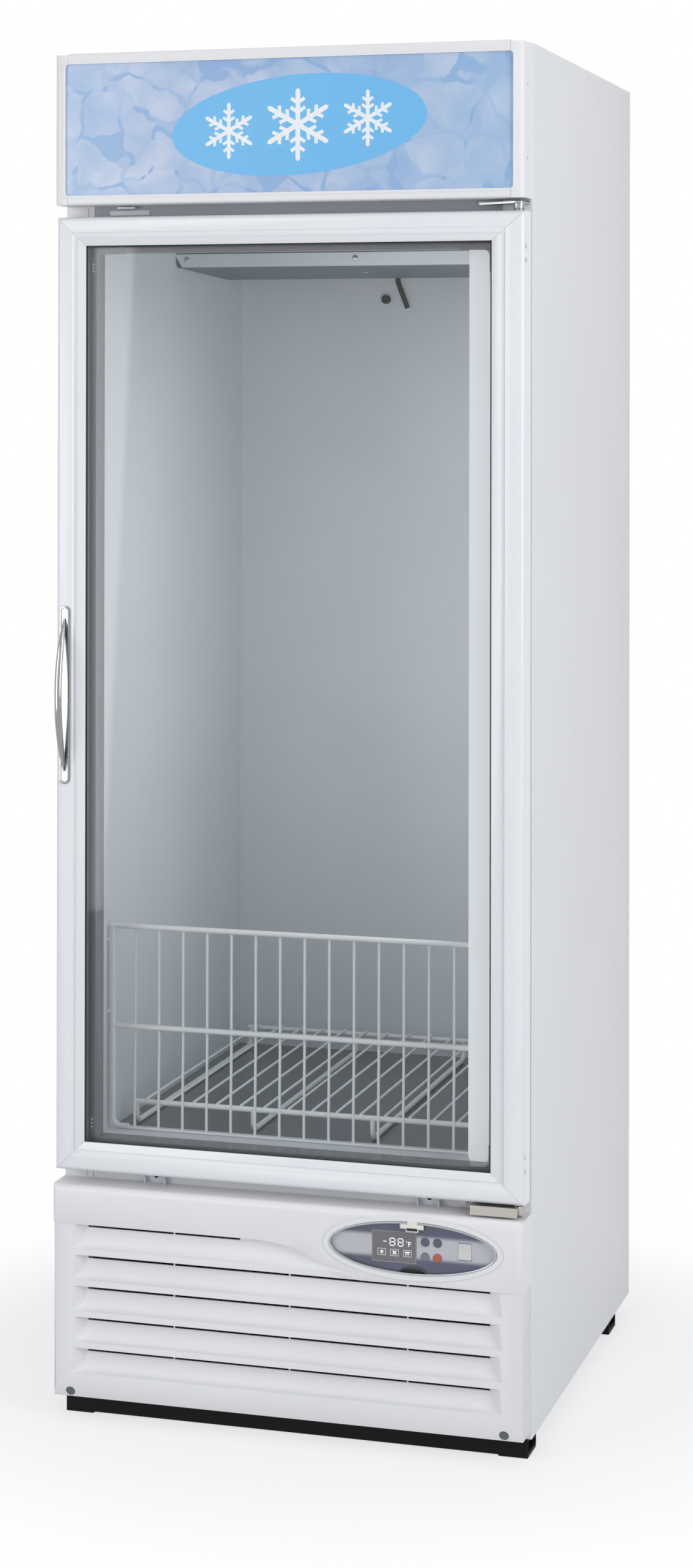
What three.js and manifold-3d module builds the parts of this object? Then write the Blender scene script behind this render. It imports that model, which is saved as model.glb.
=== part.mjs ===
// One-door ice merchandiser freezer, in millimetres: +Z up, the front faces -Y, the origin on the floor
// under the middle of the whole machine.
import * as THREE from "three";
import { mergeVertices } from "three/addons/utils/BufferGeometryUtils.js";
import Module from "manifold-3d";

const wasm = await Module();
wasm.setup();

// Clearances
const seat = 0.3;
const runningGap = 1;

// Cabinet
const cabinetWidth = 686;
const cabinetDepth = 737;
const bodyHeight = 1923;
const sheet = 1;
const linerSheet = 1;
const wallThickness = 46;
const roofThickness = 60;
const frontFlange = 43;
const rearFlange = 20;
const sheetBend = 2;
const roofLip = 18;
const ceilingLip = 30;
const machineRoomHeight = 322;
const beadProud = 0.8;
const beadWidth = 24;

// Base
const railHeight = 26;
const railInset = 4.5;
const railWall = 3;
const railPadLength = 42;
const railPadDrop = 2;
const frontRailDepth = 54;
const frontRailProud = 4;
const rearRailDepth = 53;
const rearRailSetback = 95;
const panSheet = 1.5;
const panLip = 20;

// Heights of the front, from the floor up
const lowerPanelBottom = 36.5;
const lowerPanelHeight = 300.9;
const doorGapBelow = 19;
const headerHeight = 216;
const doorGapAbove = 17;

// Door
const doorSideGap = 1.5;
const doorThickness = 36.6;
const gasketGap = 8;
const handleStileWidth = 43.5;
const hingeStileWidth = 47.5;
const topRailWidth = 41;
const bottomRailWidth = 41.6;
const frameLip = 5.1;
const glassGroove = 12;
const frameRound = 7;
const frameStepInset = 18;
const frameStepDepth = 1.2;
const paneThickness = 4;
const spacerDepth = 7.4;
const paneGap = 0.3;
const paneMargin = 1;
const spacerWidth = 8.4;
const throatReach = 12;
const throatWall = 3;
const throatSideInset = 54.5;
const throatBottomInset = 1.6;
const throatTopInset = 9.7;
const keyArm = 50;
const keyWidth = 2;
const keyProud = 0.5;
const keyCorner = 7;
const gasketInset = 13.5;
const gasketWidth = 14;

// Handle
const handleLength = 254;
const handleWidth = 16;
const handlePlate = 2.6;
const handleProjection = 32.4;
const handleInset = 14;
const handleDrop = 2.2;
const bowWidth = 12;
const bowDepth = 8;
const bowSpan = 214;

// Hinges
const pivotInset = 12.5;
const pivotSetback = 26;
const pinRadius = 4;
const pinReach = 20;
const washerRadius = 7;
const hingeArm = 66;
const hingePlate = 3;
const hingePlateDrop = 2;
const hingeSide = 3;
const hingeBlockHeight = 13;
const hingeFootExtra = 24;
const hingeBossRadius = 8;

// Cabinet opening
const openingSideMargin = 49;
const openingBottomMargin = 36.6;
const openingTopMargin = 40;
const openingCorner = 8;
const breakerDepth = 14;
const sillDepth = 64;
const sillHeight = 3.1;
const sillRound = 2;

// Header
const headerSideGap = 1;
const headerDepth = 51.5;
const headerWall = 2.2;
const headerCapWidth = 19.4;
const headerCapDrop = 2;
const headerRound = 8;
const signSideMargin = 16;
const signBottomMargin = 13;
const signTopMargin = 15.5;
const signCorner = 5;
const signBeadWidth = 3.5;
const signBeadProud = 1.2;
const signThickness = 3;
const signOverlap = 5;
const lampSideMargin = 41;
const lampTrayHeight = 34;
const lampTrayDepth = 8;
const lampRadius = 11;

// Lower grille panel
const lowerPanelSideGap = 2;
const lowerPanelDepth = 52;
const browOverhang = 1.4;
const browProud = 1.5;
const panelWall = 3;
const panelRound = 7;
const panelBevelHeight = 15;
const panelBevelDepth = 5;
const louvreCount = 5;
const louvreBlank = 80.9;
const firstSlotDrop = 54.2;
const slotHeight = 7.2;
const louvreBand = 8.4;
const louvreDepth = 14;
const louvreWall = 2.5;
const runOutBacking = 30;
const louvreSideMargin = 28;
const louvreTaper = 18.5;
const slotEndMargin = 1.5;
const slotRibWidth = 2;
const slotRibPitch = 170;
const slotRibMiddle = 6.5;
const shortSlotReach = 253;
const browCurveFar = 227;
const browCurveNear = 74;

// Control panel in the brow
const controlSideMargin = 154;
const controlDrop = 47.9;
const controlHalfLength = 119.3;
const controlHalfHeight = 36.4;
const moundWidth = 8;
const moundProud = 1.2;
const bezelRim = 2.6;
const bezelShoulder = 5;
const bezelDepth = 12;
const bezelProud = 1.2;
const fasciaSetback = 7.5;
const fasciaThickness = 2;
const coverThickness = 1.5;
const coverPivotDrop = 4;
const coverNotchWidth = 36;
const coverNotchDepth = 8;
const coverPinRadius = 0.9;
const coverPinSetback = 0.2;
const coverLugProud = 2;
const fingerNotchWidth = 40;
const fingerNotchDepth = 7;
const displayWidth = 63.2;
const displayHeight = 43.2;
const displayLeft = 27.2;
const displayDrop = 0.9;
const boardHalfLength = 88;
const boardHeight = 40;
const boardThickness = 1.6;
const boardGap = 6;
const buttonRadius = 6;
const buttonPitchX = 17.5;
const buttonPitchZ = 20.4;
const buttonRight = 16.7;
const buttonDrop = 11.8;
const buttonProud = 2;
const buttonTravel = 1.2;
const rockerRight = 72.8;
const rockerDrop = 0.2;
const rockerWidth = 18;
const rockerHeight = 22;
const rockerProud = 1.6;
const rockerBody = 6;
const rockerTilt = 6;

// Inside
const evaporatorDepth = 335;
const evaporatorDrop = 229;
const evaporatorFall = 10;
const evaporatorRearGap = 71;
const evaporatorSheet = 1.2;
const evaporatorBend = 9;
const fanRadius = 88;
const fanHoleGap = 5;
const fanLipDepth = 6;
const fanDrop = 112;
const fanHubRadius = 24;
const fanHubLength = 26;
const fanBlades = 5;
const bladeThickness = 2;
const bladePitch = 0.55;
const motorRadius = 34;
const motorLength = 46;
const coilSideGap = 35;
const coilDepth = 150;
const coilHeight = 176;
const coilFins = 18;
const coilFinDepth = 16;
const coilRearGap = 40;
const lampBarWidth = 28;
const lampBarDepth = 20;
const lampBarSideGap = 34;
const lampBarGap = 4;
const lampCorner = 9;
const guardSetback = 52;
const guardHeight = 297.5;
const guardMiddleHeight = 152.8;
const guardRod = 4;
const guardWire = 2;
const guardBottomRod = 1.7;
const guardWires = 15;
const guardEndSpace = 32.5;
const guardSideGap = 9;
const rackHeight = 33;
const rackFrontGap = 54;
const rackRearGap = 31;
const rackRod = 4;
const rackWire = 2;
const rackWires = 15;
const rackEndSpace = 20;
const rackSideGap = 25;
const rackRunners = 4;
const rackRunnerInset = 4;

// Machine room
const condenserHalfWidth = 165;
const condenserHeight = 250;
const condenserDepth = 66;
const condenserSetback = 44;
const condenserFins = 20;
const condenserFanRadius = 104;
const condenserFanX = 0;
const shroudDepth = 22;
const shroudWall = 2;
const compressorX = -170;
const compressorRearGap = 217;
const compressorRadius = 78;
const compressorHeight = 196;
const compressorFoot = 105;
const compressorFootHeight = 14;
const rearCoverLouvres = 5;
const rearLouvrePitch = 30;
const rearLouvreBlank = 133;

// Worked out from the sizes above
const halfWidth = cabinetWidth / 2;
const bodyBottom = railHeight;
const cabinetTop = bodyBottom + bodyHeight;
const insideSkin = halfWidth - sheet - seat;
const faceHalf = halfWidth - frontFlange - seat;
const linerHalf = halfWidth - wallThickness;
const linerRear = cabinetDepth - wallThickness;
const ceiling = cabinetTop - roofThickness;
const partition = bodyBottom + machineRoomHeight;
const floorTop = partition + wallThickness;
const lowerPanelTop = lowerPanelBottom + lowerPanelHeight;
const doorBottom = lowerPanelTop + doorGapBelow;
const headerBottom = cabinetTop - headerHeight;
const doorTop = headerBottom - doorGapAbove;
const doorBack = -gasketGap;
const doorFront = doorBack - doorThickness;
const doorHalf = halfWidth - doorSideGap;
const glassLeft = -doorHalf + handleStileWidth;
const glassRight = doorHalf - hingeStileWidth;
const glassBottom = doorBottom + bottomRailWidth;
const glassTop = doorTop - topRailWidth;
const pivotX = doorHalf - pivotInset;
const pivotY = -pivotSetback;
const handleX = -doorHalf + handleInset;
const handleHeight = (doorBottom + doorTop) / 2 - handleDrop;
const openingHalfWidth = halfWidth - openingSideMargin;
const openingBottom = doorBottom + openingBottomMargin;
const openingTop = doorTop - openingTopMargin;
const lowerPanelHalf = halfWidth - lowerPanelSideGap;
const browHalf = lowerPanelHalf + browOverhang;
const louvreHalfWidth = lowerPanelHalf - louvreSideMargin;
const louvrePitch = (lowerPanelHeight - louvreBlank) / louvreCount;
const firstSlotHeight = lowerPanelTop - firstSlotDrop;
const controlX = lowerPanelHalf - controlSideMargin;
const controlZ = lowerPanelTop - controlDrop;
const shortSlotEnd = controlX - shortSlotReach;
const browCurveStart = controlX - browCurveFar;
const browCurveEnd = controlX - browCurveNear;
const displayX = controlX - displayLeft;
const displayZ = controlZ - displayDrop;
const buttonX = controlX + buttonRight;
const buttonZ = controlZ - buttonDrop;
const rockerX = controlX + rockerRight;
const rockerZ = controlZ - rockerDrop;
const headerHalf = halfWidth - headerSideGap;
const signHalfWidth = headerHalf - signSideMargin;
const lampHalfLength = signHalfWidth - lampSideMargin;
const evaporatorFront = linerRear - evaporatorDepth;
const evaporatorRear = linerRear - evaporatorRearGap;
const coilHalfLength = linerHalf - coilSideGap;
const lampBarX = linerHalf - lampBarSideGap;
const guardTop = floorTop + guardHeight;
const guardMiddle = floorTop + guardMiddleHeight;
const guardHalfWidth = linerHalf - guardSideGap;
const guardPitch = (2 * (guardHalfWidth - guardEndSpace)) / (guardWires - 1);
const rackHalfWidth = linerHalf - rackSideGap;
const rackPitch = (2 * (rackHalfWidth - rackEndSpace)) / (rackWires - 1);
const rackRunnerPitch = (2 * (rackHalfWidth - rackRunnerInset)) / (rackRunners - 1);
const rackFront = wallThickness + rackFrontGap;
const rackRear = linerRear - rackRearGap;
const compressorY = cabinetDepth - compressorRearGap;
const rearLouvreLength = halfWidth - rearLouvreBlank;
const rearSkinFront = cabinetDepth - 2 * sheet - seat;

// ---------- solids ----------

const solid = (geometry) => {
  const bare = geometry.index ? geometry.toNonIndexed() : geometry.clone();
  bare.deleteAttribute("normal");
  bare.deleteAttribute("uv");
  const merged = mergeVertices(bare, 1e-3);
  return new wasm.Manifold(
    new wasm.Mesh({
      numProp: 3,
      vertProperties: new Float32Array(merged.attributes.position.array),
      triVerts: new Uint32Array(merged.index.array),
    }),
  );
};

const joined = (first, ...others) => others.reduce((whole, piece) => whole.add(piece), first);

const cutBy = (first, ...cutters) => cutters.reduce((whole, piece) => whole.subtract(piece), first);

const box = (x0, x1, y0, y1, z0, z1) => {
  const geometry = new THREE.BoxGeometry(x1 - x0, y1 - y0, z1 - z0);
  geometry.translate((x0 + x1) / 2, (y0 + y1) / 2, (z0 + z1) / 2);
  return solid(geometry);
};

const outline = (points) => new THREE.Shape(points.map(([x, y]) => new THREE.Vector2(x, y)));

const extruded = (shape, depth, curveSegments = 6) =>
  new THREE.ExtrudeGeometry(shape, { depth, bevelEnabled: false, curveSegments });

// A shape drawn in (y, z) and run along X, in (x, z) and run along Y, or in (x, y) and run along Z.
const runAlongX = (shape, x0, x1, segments) => {
  const turn = new THREE.Matrix4().makeBasis(
    new THREE.Vector3(0, 1, 0),
    new THREE.Vector3(0, 0, 1),
    new THREE.Vector3(1, 0, 0),
  );
  return extruded(shape, x1 - x0, segments).applyMatrix4(turn).translate(x0, 0, 0);
};

const runAlongY = (shape, y0, y1, segments) => {
  const turn = new THREE.Matrix4().makeBasis(
    new THREE.Vector3(1, 0, 0),
    new THREE.Vector3(0, 0, 1),
    new THREE.Vector3(0, -1, 0),
  );
  return extruded(shape, y1 - y0, segments).applyMatrix4(turn).translate(0, y1, 0);
};

const runAlongZ = (shape, z0, z1, segments) => extruded(shape, z1 - z0, segments).translate(0, 0, z0);

const prismX = (shape, x0, x1, segments) => solid(runAlongX(shape, x0, x1, segments));
const prismY = (shape, y0, y1, segments) => solid(runAlongY(shape, y0, y1, segments));
const prismZ = (shape, z0, z1, segments) => solid(runAlongZ(shape, z0, z1, segments));

const roundedRectangle = (x0, x1, y0, y1, radius) => {
  const shape = new THREE.Shape();
  shape.moveTo(x0 + radius, y0);
  shape.lineTo(x1 - radius, y0);
  shape.absarc(x1 - radius, y0 + radius, radius, -Math.PI / 2, 0);
  shape.lineTo(x1, y1 - radius);
  shape.absarc(x1 - radius, y1 - radius, radius, 0, Math.PI / 2);
  shape.lineTo(x0 + radius, y1);
  shape.absarc(x0 + radius, y1 - radius, radius, Math.PI / 2, Math.PI);
  shape.lineTo(x0, y0 + radius);
  shape.absarc(x0 + radius, y0 + radius, radius, Math.PI, Math.PI * 1.5);
  return shape;
};

const ellipse = (x, y, halfLength, halfHeight) => {
  const shape = new THREE.Shape();
  shape.absellipse(x, y, halfLength, halfHeight, 0, Math.PI * 2);
  return shape;
};

const roundBar = (axis, centre, radius, from, to, sides = 16) => {
  const shape = new THREE.Shape();
  shape.absarc(centre[0], centre[1], radius, 0, Math.PI * 2);
  const run = { X: prismX, Y: prismY, Z: prismZ }[axis];
  return run(shape, from, to, Math.ceil(sides / 2));
};

const bentRod = (points, radius, sides, steps) => {
  const section = new THREE.Shape();
  section.absarc(0, 0, radius, 0, Math.PI * 2);
  const path = new THREE.CatmullRomCurve3(
    points.map((p) => new THREE.Vector3(...p)),
    false,
    "catmullrom",
    0.1,
  );
  return solid(
    new THREE.ExtrudeGeometry(section, {
      steps,
      extrudePath: path,
      bevelEnabled: false,
      curveSegments: Math.ceil(sides / 2),
    }),
  );
};

const painted = new THREE.MeshStandardMaterial({ color: "#e2e3e6", roughness: 0.35, metalness: 0.1 });
const blackPaint = new THREE.MeshStandardMaterial({ color: "#191919", roughness: 0.5, metalness: 0.3 });
const whitePlastic = new THREE.MeshStandardMaterial({ color: "#e9e8e8", roughness: 0.4 });
const greyPlastic = new THREE.MeshStandardMaterial({ color: "#6f6e72", roughness: 0.5 });
const foam = new THREE.MeshStandardMaterial({ color: "#e8d9a8", roughness: 0.95 });
const linerMetal = new THREE.MeshStandardMaterial({ color: "#d5dade", roughness: 0.4, metalness: 0.4 });
const steel = new THREE.MeshStandardMaterial({ color: "#a9adb0", roughness: 0.4, metalness: 0.9 });
const aluminium = new THREE.MeshStandardMaterial({ color: "#b9c0c0", roughness: 0.3, metalness: 0.9 });
const whiteAluminium = new THREE.MeshStandardMaterial({ color: "#e8e9ed", roughness: 0.3, metalness: 0.1 });
const chrome = new THREE.MeshStandardMaterial({ color: "#d8d9db", roughness: 0.08, metalness: 1 });
const nickel = new THREE.MeshStandardMaterial({ color: "#c9c4bf", roughness: 0.3, metalness: 1 });
const clear = { transparent: true, opacity: 0.25, roughness: 0.05 };
const glass = new THREE.MeshStandardMaterial({ color: "#e6f2f0", ...clear });
const smoked = new THREE.MeshStandardMaterial({ color: "#9aa0ac", ...clear });
const rubber = new THREE.MeshStandardMaterial({ color: "#8b8d90", roughness: 0.8 });
const fasciaFilm = new THREE.MeshStandardMaterial({ color: "#5a6080", roughness: 0.3 });
const signFilm = new THREE.MeshStandardMaterial({ color: "#b9cbe8", roughness: 0.3 });
const coatedWire = new THREE.MeshStandardMaterial({ color: "#e4e6ea", roughness: 0.35 });
const darkButton = new THREE.MeshStandardMaterial({ color: "#4a4f63", roughness: 0.6 });
const greyButton = new THREE.MeshStandardMaterial({ color: "#7b7f89", roughness: 0.6 });
const redButton = new THREE.MeshStandardMaterial({ color: "#c8503f", roughness: 0.5 });
const blackPlastic = new THREE.MeshStandardMaterial({ color: "#222326", roughness: 0.6 });

const machine = new THREE.Group();

const place = (name, made, material) => {
  const { vertProperties, triVerts } = made.getMesh();
  const geometry = new THREE.BufferGeometry();
  geometry.setAttribute("position", new THREE.BufferAttribute(new Float32Array(vertProperties), 3));
  geometry.setIndex(new THREE.BufferAttribute(new Uint32Array(triVerts), 1));
  geometry.computeVertexNormals();
  const mesh = new THREE.Mesh(geometry, material);
  mesh.name = name;
  machine.add(mesh);
};

// ---------- cabinet skins ----------

// A side panel in plan: one sheet with its front and rear edges turned in.
const sidePanel = (side) => {
  const x = (inset) => side * (halfWidth - inset);
  const bendPoints = (cornerY, towards, radius) =>
    [0, 1, 2, 3, 4].map((step) => {
      const angle = (step / 4) * (Math.PI / 2);
      return [sheetBend - radius * Math.sin(angle), cornerY + towards * (sheetBend - radius * Math.cos(angle))];
    });
  const inner = sheetBend - sheet;
  const front = bendPoints(0, 1, sheetBend);
  const rear = bendPoints(cabinetDepth, -1, sheetBend).reverse();
  const rearInside = bendPoints(cabinetDepth, -1, inner);
  const frontInside = bendPoints(0, 1, inner).reverse();
  const points = [
    [frontFlange, 0],
    ...front,
    ...rear,
    [rearFlange, cabinetDepth],
    [rearFlange, cabinetDepth - sheet],
    ...rearInside,
    ...frontInside,
    [frontFlange, sheet],
  ];
  return prismZ(outline(points.map(([inset, y]) => [x(inset), y])), bodyBottom, cabinetTop);
};

const roofPanel = () => {
  const front = sheet + seat;
  const rear = rearSkinFront - seat;
  const outer = box(-insideSkin, insideSkin, front, rear, cabinetTop - roofLip, cabinetTop);
  const hollow = box(
    -insideSkin + sheet,
    insideSkin - sheet,
    front + sheet,
    rear - sheet,
    cabinetTop - roofLip - 1,
    cabinetTop - sheet,
  );
  return cutBy(outer, hollow);
};

// The rear skin, stiffened by three upright pressed beads.
const rearPanel = () => {
  const bottom = partition + seat;
  const skin = box(-insideSkin, insideSkin, rearSkinFront, rearSkinFront + sheet, bottom, cabinetTop);
  const beads = [-1, 0, 1].map((column) => {
    const x = (column * cabinetWidth) / 3.4;
    const y = rearSkinFront + sheet;
    const section = outline([
      [x - beadWidth / 2, y - sheet / 2],
      [x + beadWidth / 2, y - sheet / 2],
      [x + beadWidth / 2, y],
      [x + beadWidth / 2 - beadProud, y + beadProud],
      [x - beadWidth / 2 + beadProud, y + beadProud],
      [x - beadWidth / 2, y],
    ]);
    return prismZ(section, bottom + wallThickness, cabinetTop - roofThickness);
  });
  return joined(skin, ...beads);
};

const upperFacePanel = () => box(-faceHalf, faceHalf, 0, sheet, doorTop + seat, cabinetTop);

// The sheet over the machine room, turned down at the front.
const compartmentCeiling = () => {
  const front = sheet + seat;
  return joined(
    box(-insideSkin, insideSkin, front, rearSkinFront - seat, partition - sheet, partition),
    box(-insideSkin, insideSkin, front, front + sheet, partition - ceilingLip, partition),
  );
};

const foamInsulation = () => {
  const front = sheet + seat;
  const rear = rearSkinFront - seat;
  const bottom = partition + seat;
  const underLip = cabinetTop - roofLip - seat;
  const inset = sheet + seat;
  const walls = box(-insideSkin + seat, insideSkin - seat, front, rear, bottom, underLip);
  const crown = box(
    -insideSkin + inset,
    insideSkin - inset,
    front + inset,
    rear - inset,
    underLip - 1,
    cabinetTop - sheet - seat,
  );
  const cavityHalf = linerHalf + linerSheet + seat;
  const cavityBottom = floorTop - linerSheet - seat;
  const cavity = box(
    -cavityHalf,
    cavityHalf,
    wallThickness - linerSheet - seat,
    linerRear + linerSheet + seat,
    cavityBottom,
    ceiling + linerSheet + seat,
  );
  const throat = box(-cavityHalf, cavityHalf, 0, wallThickness, cavityBottom, openingTop + linerSheet + seat);
  const breakerSeat = box(
    -faceHalf - seat,
    faceHalf + seat,
    0,
    breakerDepth + seat,
    partition,
    doorTop + seat,
  );
  return cutBy(joined(walls, crown), cavity, throat, breakerSeat);
};

// The plastic frame that closes the foam round the opening and carries the gasket face.
const breakerFrame = () => {
  const shape = outline([
    [-faceHalf, partition + seat],
    [faceHalf, partition + seat],
    [faceHalf, doorTop],
    [-faceHalf, doorTop],
  ]);
  const opening = roundedRectangle(
    -openingHalfWidth,
    openingHalfWidth,
    openingBottom,
    openingTop,
    openingCorner,
  );
  return cutBy(prismY(shape, 0, breakerDepth), prismY(opening, -1, breakerDepth + 1, 3));
};

// ---------- liner ----------

const linerFront = breakerDepth + seat;
const linerBack = linerRear - seat;

const linerSideWall = (side) => {
  const inner = side * linerHalf;
  const outer = side * (linerHalf + linerSheet);
  const section = outline([
    [linerFront, floorTop - linerSheet],
    [linerBack, floorTop - linerSheet],
    [linerBack, ceiling + linerSheet],
    [wallThickness - linerSheet, ceiling + linerSheet],
    [wallThickness - linerSheet, openingTop + linerSheet],
    [linerFront, openingTop + linerSheet],
  ]);
  return prismX(section, Math.min(inner, outer), Math.max(inner, outer));
};

const linerRearWall = () =>
  box(
    -linerHalf - linerSheet,
    linerHalf + linerSheet,
    linerRear,
    linerRear + linerSheet,
    floorTop - linerSheet,
    ceiling + linerSheet,
  );

// Ceiling sheet, folded down behind the upper face and out again over the opening.
const linerCeiling = () => {
  const drop = wallThickness - linerSheet;
  const section = outline([
    [linerBack, ceiling + linerSheet],
    [drop, ceiling + linerSheet],
    [drop, openingTop + linerSheet],
    [linerFront, openingTop + linerSheet],
    [linerFront, openingTop],
    [wallThickness, openingTop],
    [wallThickness, ceiling],
    [linerBack, ceiling],
  ]);
  return prismX(section, -linerHalf + seat, linerHalf - seat);
};

const linerFloor = () =>
  box(-linerHalf + seat, linerHalf - seat, linerFront, linerBack, floorTop - linerSheet, floorTop);

const thresholdSill = () => {
  const front = linerFront;
  const rear = front + sillDepth;
  const bottom = floorTop + seat;
  const top = bottom + sillHeight;
  const shape = new THREE.Shape();
  shape.moveTo(front, bottom);
  shape.lineTo(rear, bottom);
  shape.lineTo(rear, top - sillRound);
  shape.absarc(rear - sillRound, top - sillRound, sillRound, 0, Math.PI / 2);
  shape.lineTo(front + sillRound, top);
  shape.absarc(front + sillRound, top - sillRound, sillRound, Math.PI / 2, Math.PI);
  return prismX(shape, -linerHalf + seat, linerHalf - seat, 4);
};

// ---------- base ----------

const basePan = () => {
  const front = sheet + seat;
  const rear = rearSkinFront - seat;
  const bottom = bodyBottom + seat;
  const outer = box(-insideSkin, insideSkin, front, rear, bottom, bottom + panLip);
  const hollow = box(
    -insideSkin + panSheet,
    insideSkin - panSheet,
    front + panSheet,
    rear - panSheet,
    bottom + panSheet,
    bottom + panLip + 1,
  );
  return cutBy(outer, hollow);
};

// An inverted channel across the machine with a lower pad at each end.
const baseRail = (front, depth) => {
  const half = halfWidth - railInset;
  const top = railHeight - seat;
  const channel = outline([
    [front, railPadDrop],
    [front + railWall, railPadDrop],
    [front + railWall, top - railWall],
    [front + depth - railWall, top - railWall],
    [front + depth - railWall, railPadDrop],
    [front + depth, railPadDrop],
    [front + depth, top],
    [front, top],
  ]);
  const pads = [-1, 1].map((side) => {
    const inner = side * (half - railPadLength);
    const outer = side * half;
    return box(Math.min(inner, outer), Math.max(inner, outer), front, front + depth, 0, railPadDrop * 3);
  });
  return joined(prismX(channel, -half, half), ...pads);
};

// ---------- header ----------

const headerFront = -headerDepth;
const capSeam = headerHalf - headerCapWidth;
const signBottom = headerBottom + signBottomMargin;
const signTop = cabinetTop - signTopMargin;

const signWindow = (grow) =>
  roundedRectangle(
    -signHalfWidth - grow,
    signHalfWidth + grow,
    signBottom - grow,
    signTop + grow,
    signCorner + grow,
  );

const signBead = () => prismY(signWindow(signBeadWidth), headerFront - signBeadProud, headerFront + 1, 3);

const headerCap = (side) => {
  const top = cabinetTop - headerCapDrop;
  const plan = (inset, radius) => {
    const shape = new THREE.Shape();
    const outer = headerHalf - inset;
    const front = headerFront + inset;
    shape.moveTo(side * (capSeam - (inset ? 1 : 0)), front);
    shape.lineTo(side * (outer - radius), front);
    for (const step of [1, 2, 3, 4]) {
      const angle = (step / 4) * (Math.PI / 2);
      shape.lineTo(side * (outer - radius + radius * Math.sin(angle)), front + radius - radius * Math.cos(angle));
    }
    shape.lineTo(side * outer, inset ? 1 : -seat);
    shape.lineTo(side * (capSeam - (inset ? 1 : 0)), inset ? 1 : -seat);
    return shape;
  };
  const shell = cutBy(
    prismZ(plan(0, headerRound), headerBottom, top),
    prismZ(plan(headerWall, headerRound - headerWall), headerBottom + headerWall, top - headerWall),
  );
  const from = Math.min(side * capSeam, side * headerHalf);
  const to = Math.max(side * capSeam, side * headerHalf);
  const ownSide = box(from, to, headerFront - 10, 0, headerBottom, top);
  return cutBy(
    joined(shell, signBead().intersect(ownSide)),
    prismY(signWindow(0), headerFront - 5, headerFront + headerWall + 1, 3),
  );
};

// A header rail: a thin channel open towards the sign, with its front edges rounded.
const headerRail = (upper) => {
  const low = upper ? signTop - signBeadWidth * 2 : headerBottom;
  const high = upper ? cabinetTop : signBottom + signBeadWidth * 2;
  const half = capSeam - seat;
  const edge = upper ? high : low;
  const inner = upper ? low : high;
  const turn = upper ? -1 : 1;
  const profile = (inset, radius) => {
    const shape = new THREE.Shape();
    const front = headerFront + inset;
    const outerEdge = edge + turn * inset;
    shape.moveTo(front, inset ? inner - turn * -2 : inner);
    shape.lineTo(front, outerEdge + turn * radius);
    for (const step of [1, 2, 3, 4]) {
      const angle = (step / 4) * (Math.PI / 2);
      shape.lineTo(front + radius - radius * Math.cos(angle), outerEdge + turn * (radius - radius * Math.sin(angle)));
    }
    shape.lineTo(inset ? 1 : -seat, outerEdge);
    shape.lineTo(inset ? 1 : -seat, inset ? inner - turn * -2 : inner);
    return shape;
  };
  const shell = cutBy(
    prismX(profile(0, headerRound / 2), -half, half),
    prismX(profile(headerWall, headerRound / 2 - headerWall + 0.5), -half - 1, half + 1),
  );
  const ownBand = box(-half, half, headerFront - 10, 0, low, high);
  return cutBy(
    joined(shell, signBead().intersect(ownBand)),
    prismY(signWindow(0), headerFront - 5, headerFront + headerWall + 1, 3),
  );
};

const signPanel = () => {
  const front = headerFront + headerWall + seat;
  return box(
    -signHalfWidth - signOverlap,
    signHalfWidth + signOverlap,
    front,
    front + signThickness,
    signBottom - signOverlap,
    signTop + signOverlap,
  );
};

const signLamp = () => {
  const middle = (signBottom + signTop) / 2;
  const tray = box(
    -lampHalfLength,
    lampHalfLength,
    -seat - lampTrayDepth,
    -seat,
    middle - lampTrayHeight / 2,
    middle + lampTrayHeight / 2,
  );
  const tube = roundBar("X", [-seat - lampRadius, middle], lampRadius, -lampHalfLength, lampHalfLength, 12);
  return joined(tray, tube);
};

// ---------- lower grille panel ----------

const panelFront = -lowerPanelDepth;
const browFront = panelFront - browProud;
const controlFront = browFront - moundProud;

// The section of the panel, drawn in (y, z).
const panelSection = (front, inset, radius) => {
  const shape = new THREE.Shape();
  const rear = inset ? 1 : -seat;
  const top = lowerPanelTop - inset;
  const face = front + inset;
  const bevelTop = lowerPanelBottom + panelBevelHeight + inset / 2;
  shape.moveTo(rear, lowerPanelBottom + inset);
  shape.lineTo(rear, top);
  shape.lineTo(face + radius, top);
  for (const step of [1, 2, 3, 4]) {
    const angle = (step / 4) * (Math.PI / 2);
    shape.lineTo(face + radius - radius * Math.sin(angle), top - radius + radius * Math.cos(angle));
  }
  shape.lineTo(face, bevelTop);
  shape.lineTo(face + panelBevelDepth, lowerPanelBottom + inset);
  return shape;
};

// The plan of the panel, drawn in (x, y), with its two front corners rounded.
const panelPlan = (half, front, radius) => {
  const shape = new THREE.Shape();
  shape.moveTo(-half, 1);
  shape.lineTo(-half, front + radius);
  shape.absarc(-half + radius, front + radius, radius, Math.PI, Math.PI * 1.5);
  shape.lineTo(half - radius, front);
  shape.absarc(half - radius, front + radius, radius, Math.PI * 1.5, Math.PI * 2);
  shape.lineTo(half, 1);
  return shape;
};

// The brow's lower edge: level with the first slot, then an S down to the second one.
const browOutline = () => {
  const secondSlot = firstSlotHeight - louvrePitch;
  const half = browHalf;
  const shape = new THREE.Shape();
  const middle = (browCurveStart + browCurveEnd) / 2;
  shape.moveTo(-half - 1, firstSlotHeight);
  shape.lineTo(browCurveStart, firstSlotHeight);
  shape.bezierCurveTo(middle + 20, firstSlotHeight, middle + 10, secondSlot, browCurveEnd, secondSlot);
  shape.lineTo(half + 1, secondSlot);
  shape.lineTo(half + 1, lowerPanelTop + 1);
  shape.lineTo(-half - 1, lowerPanelTop + 1);
  return shape;
};

const slotTops = Array.from({ length: louvreCount }, (_, i) => firstSlotHeight - i * louvrePitch);
const coveHeight = louvrePitch - slotHeight - louvreBand;

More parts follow.
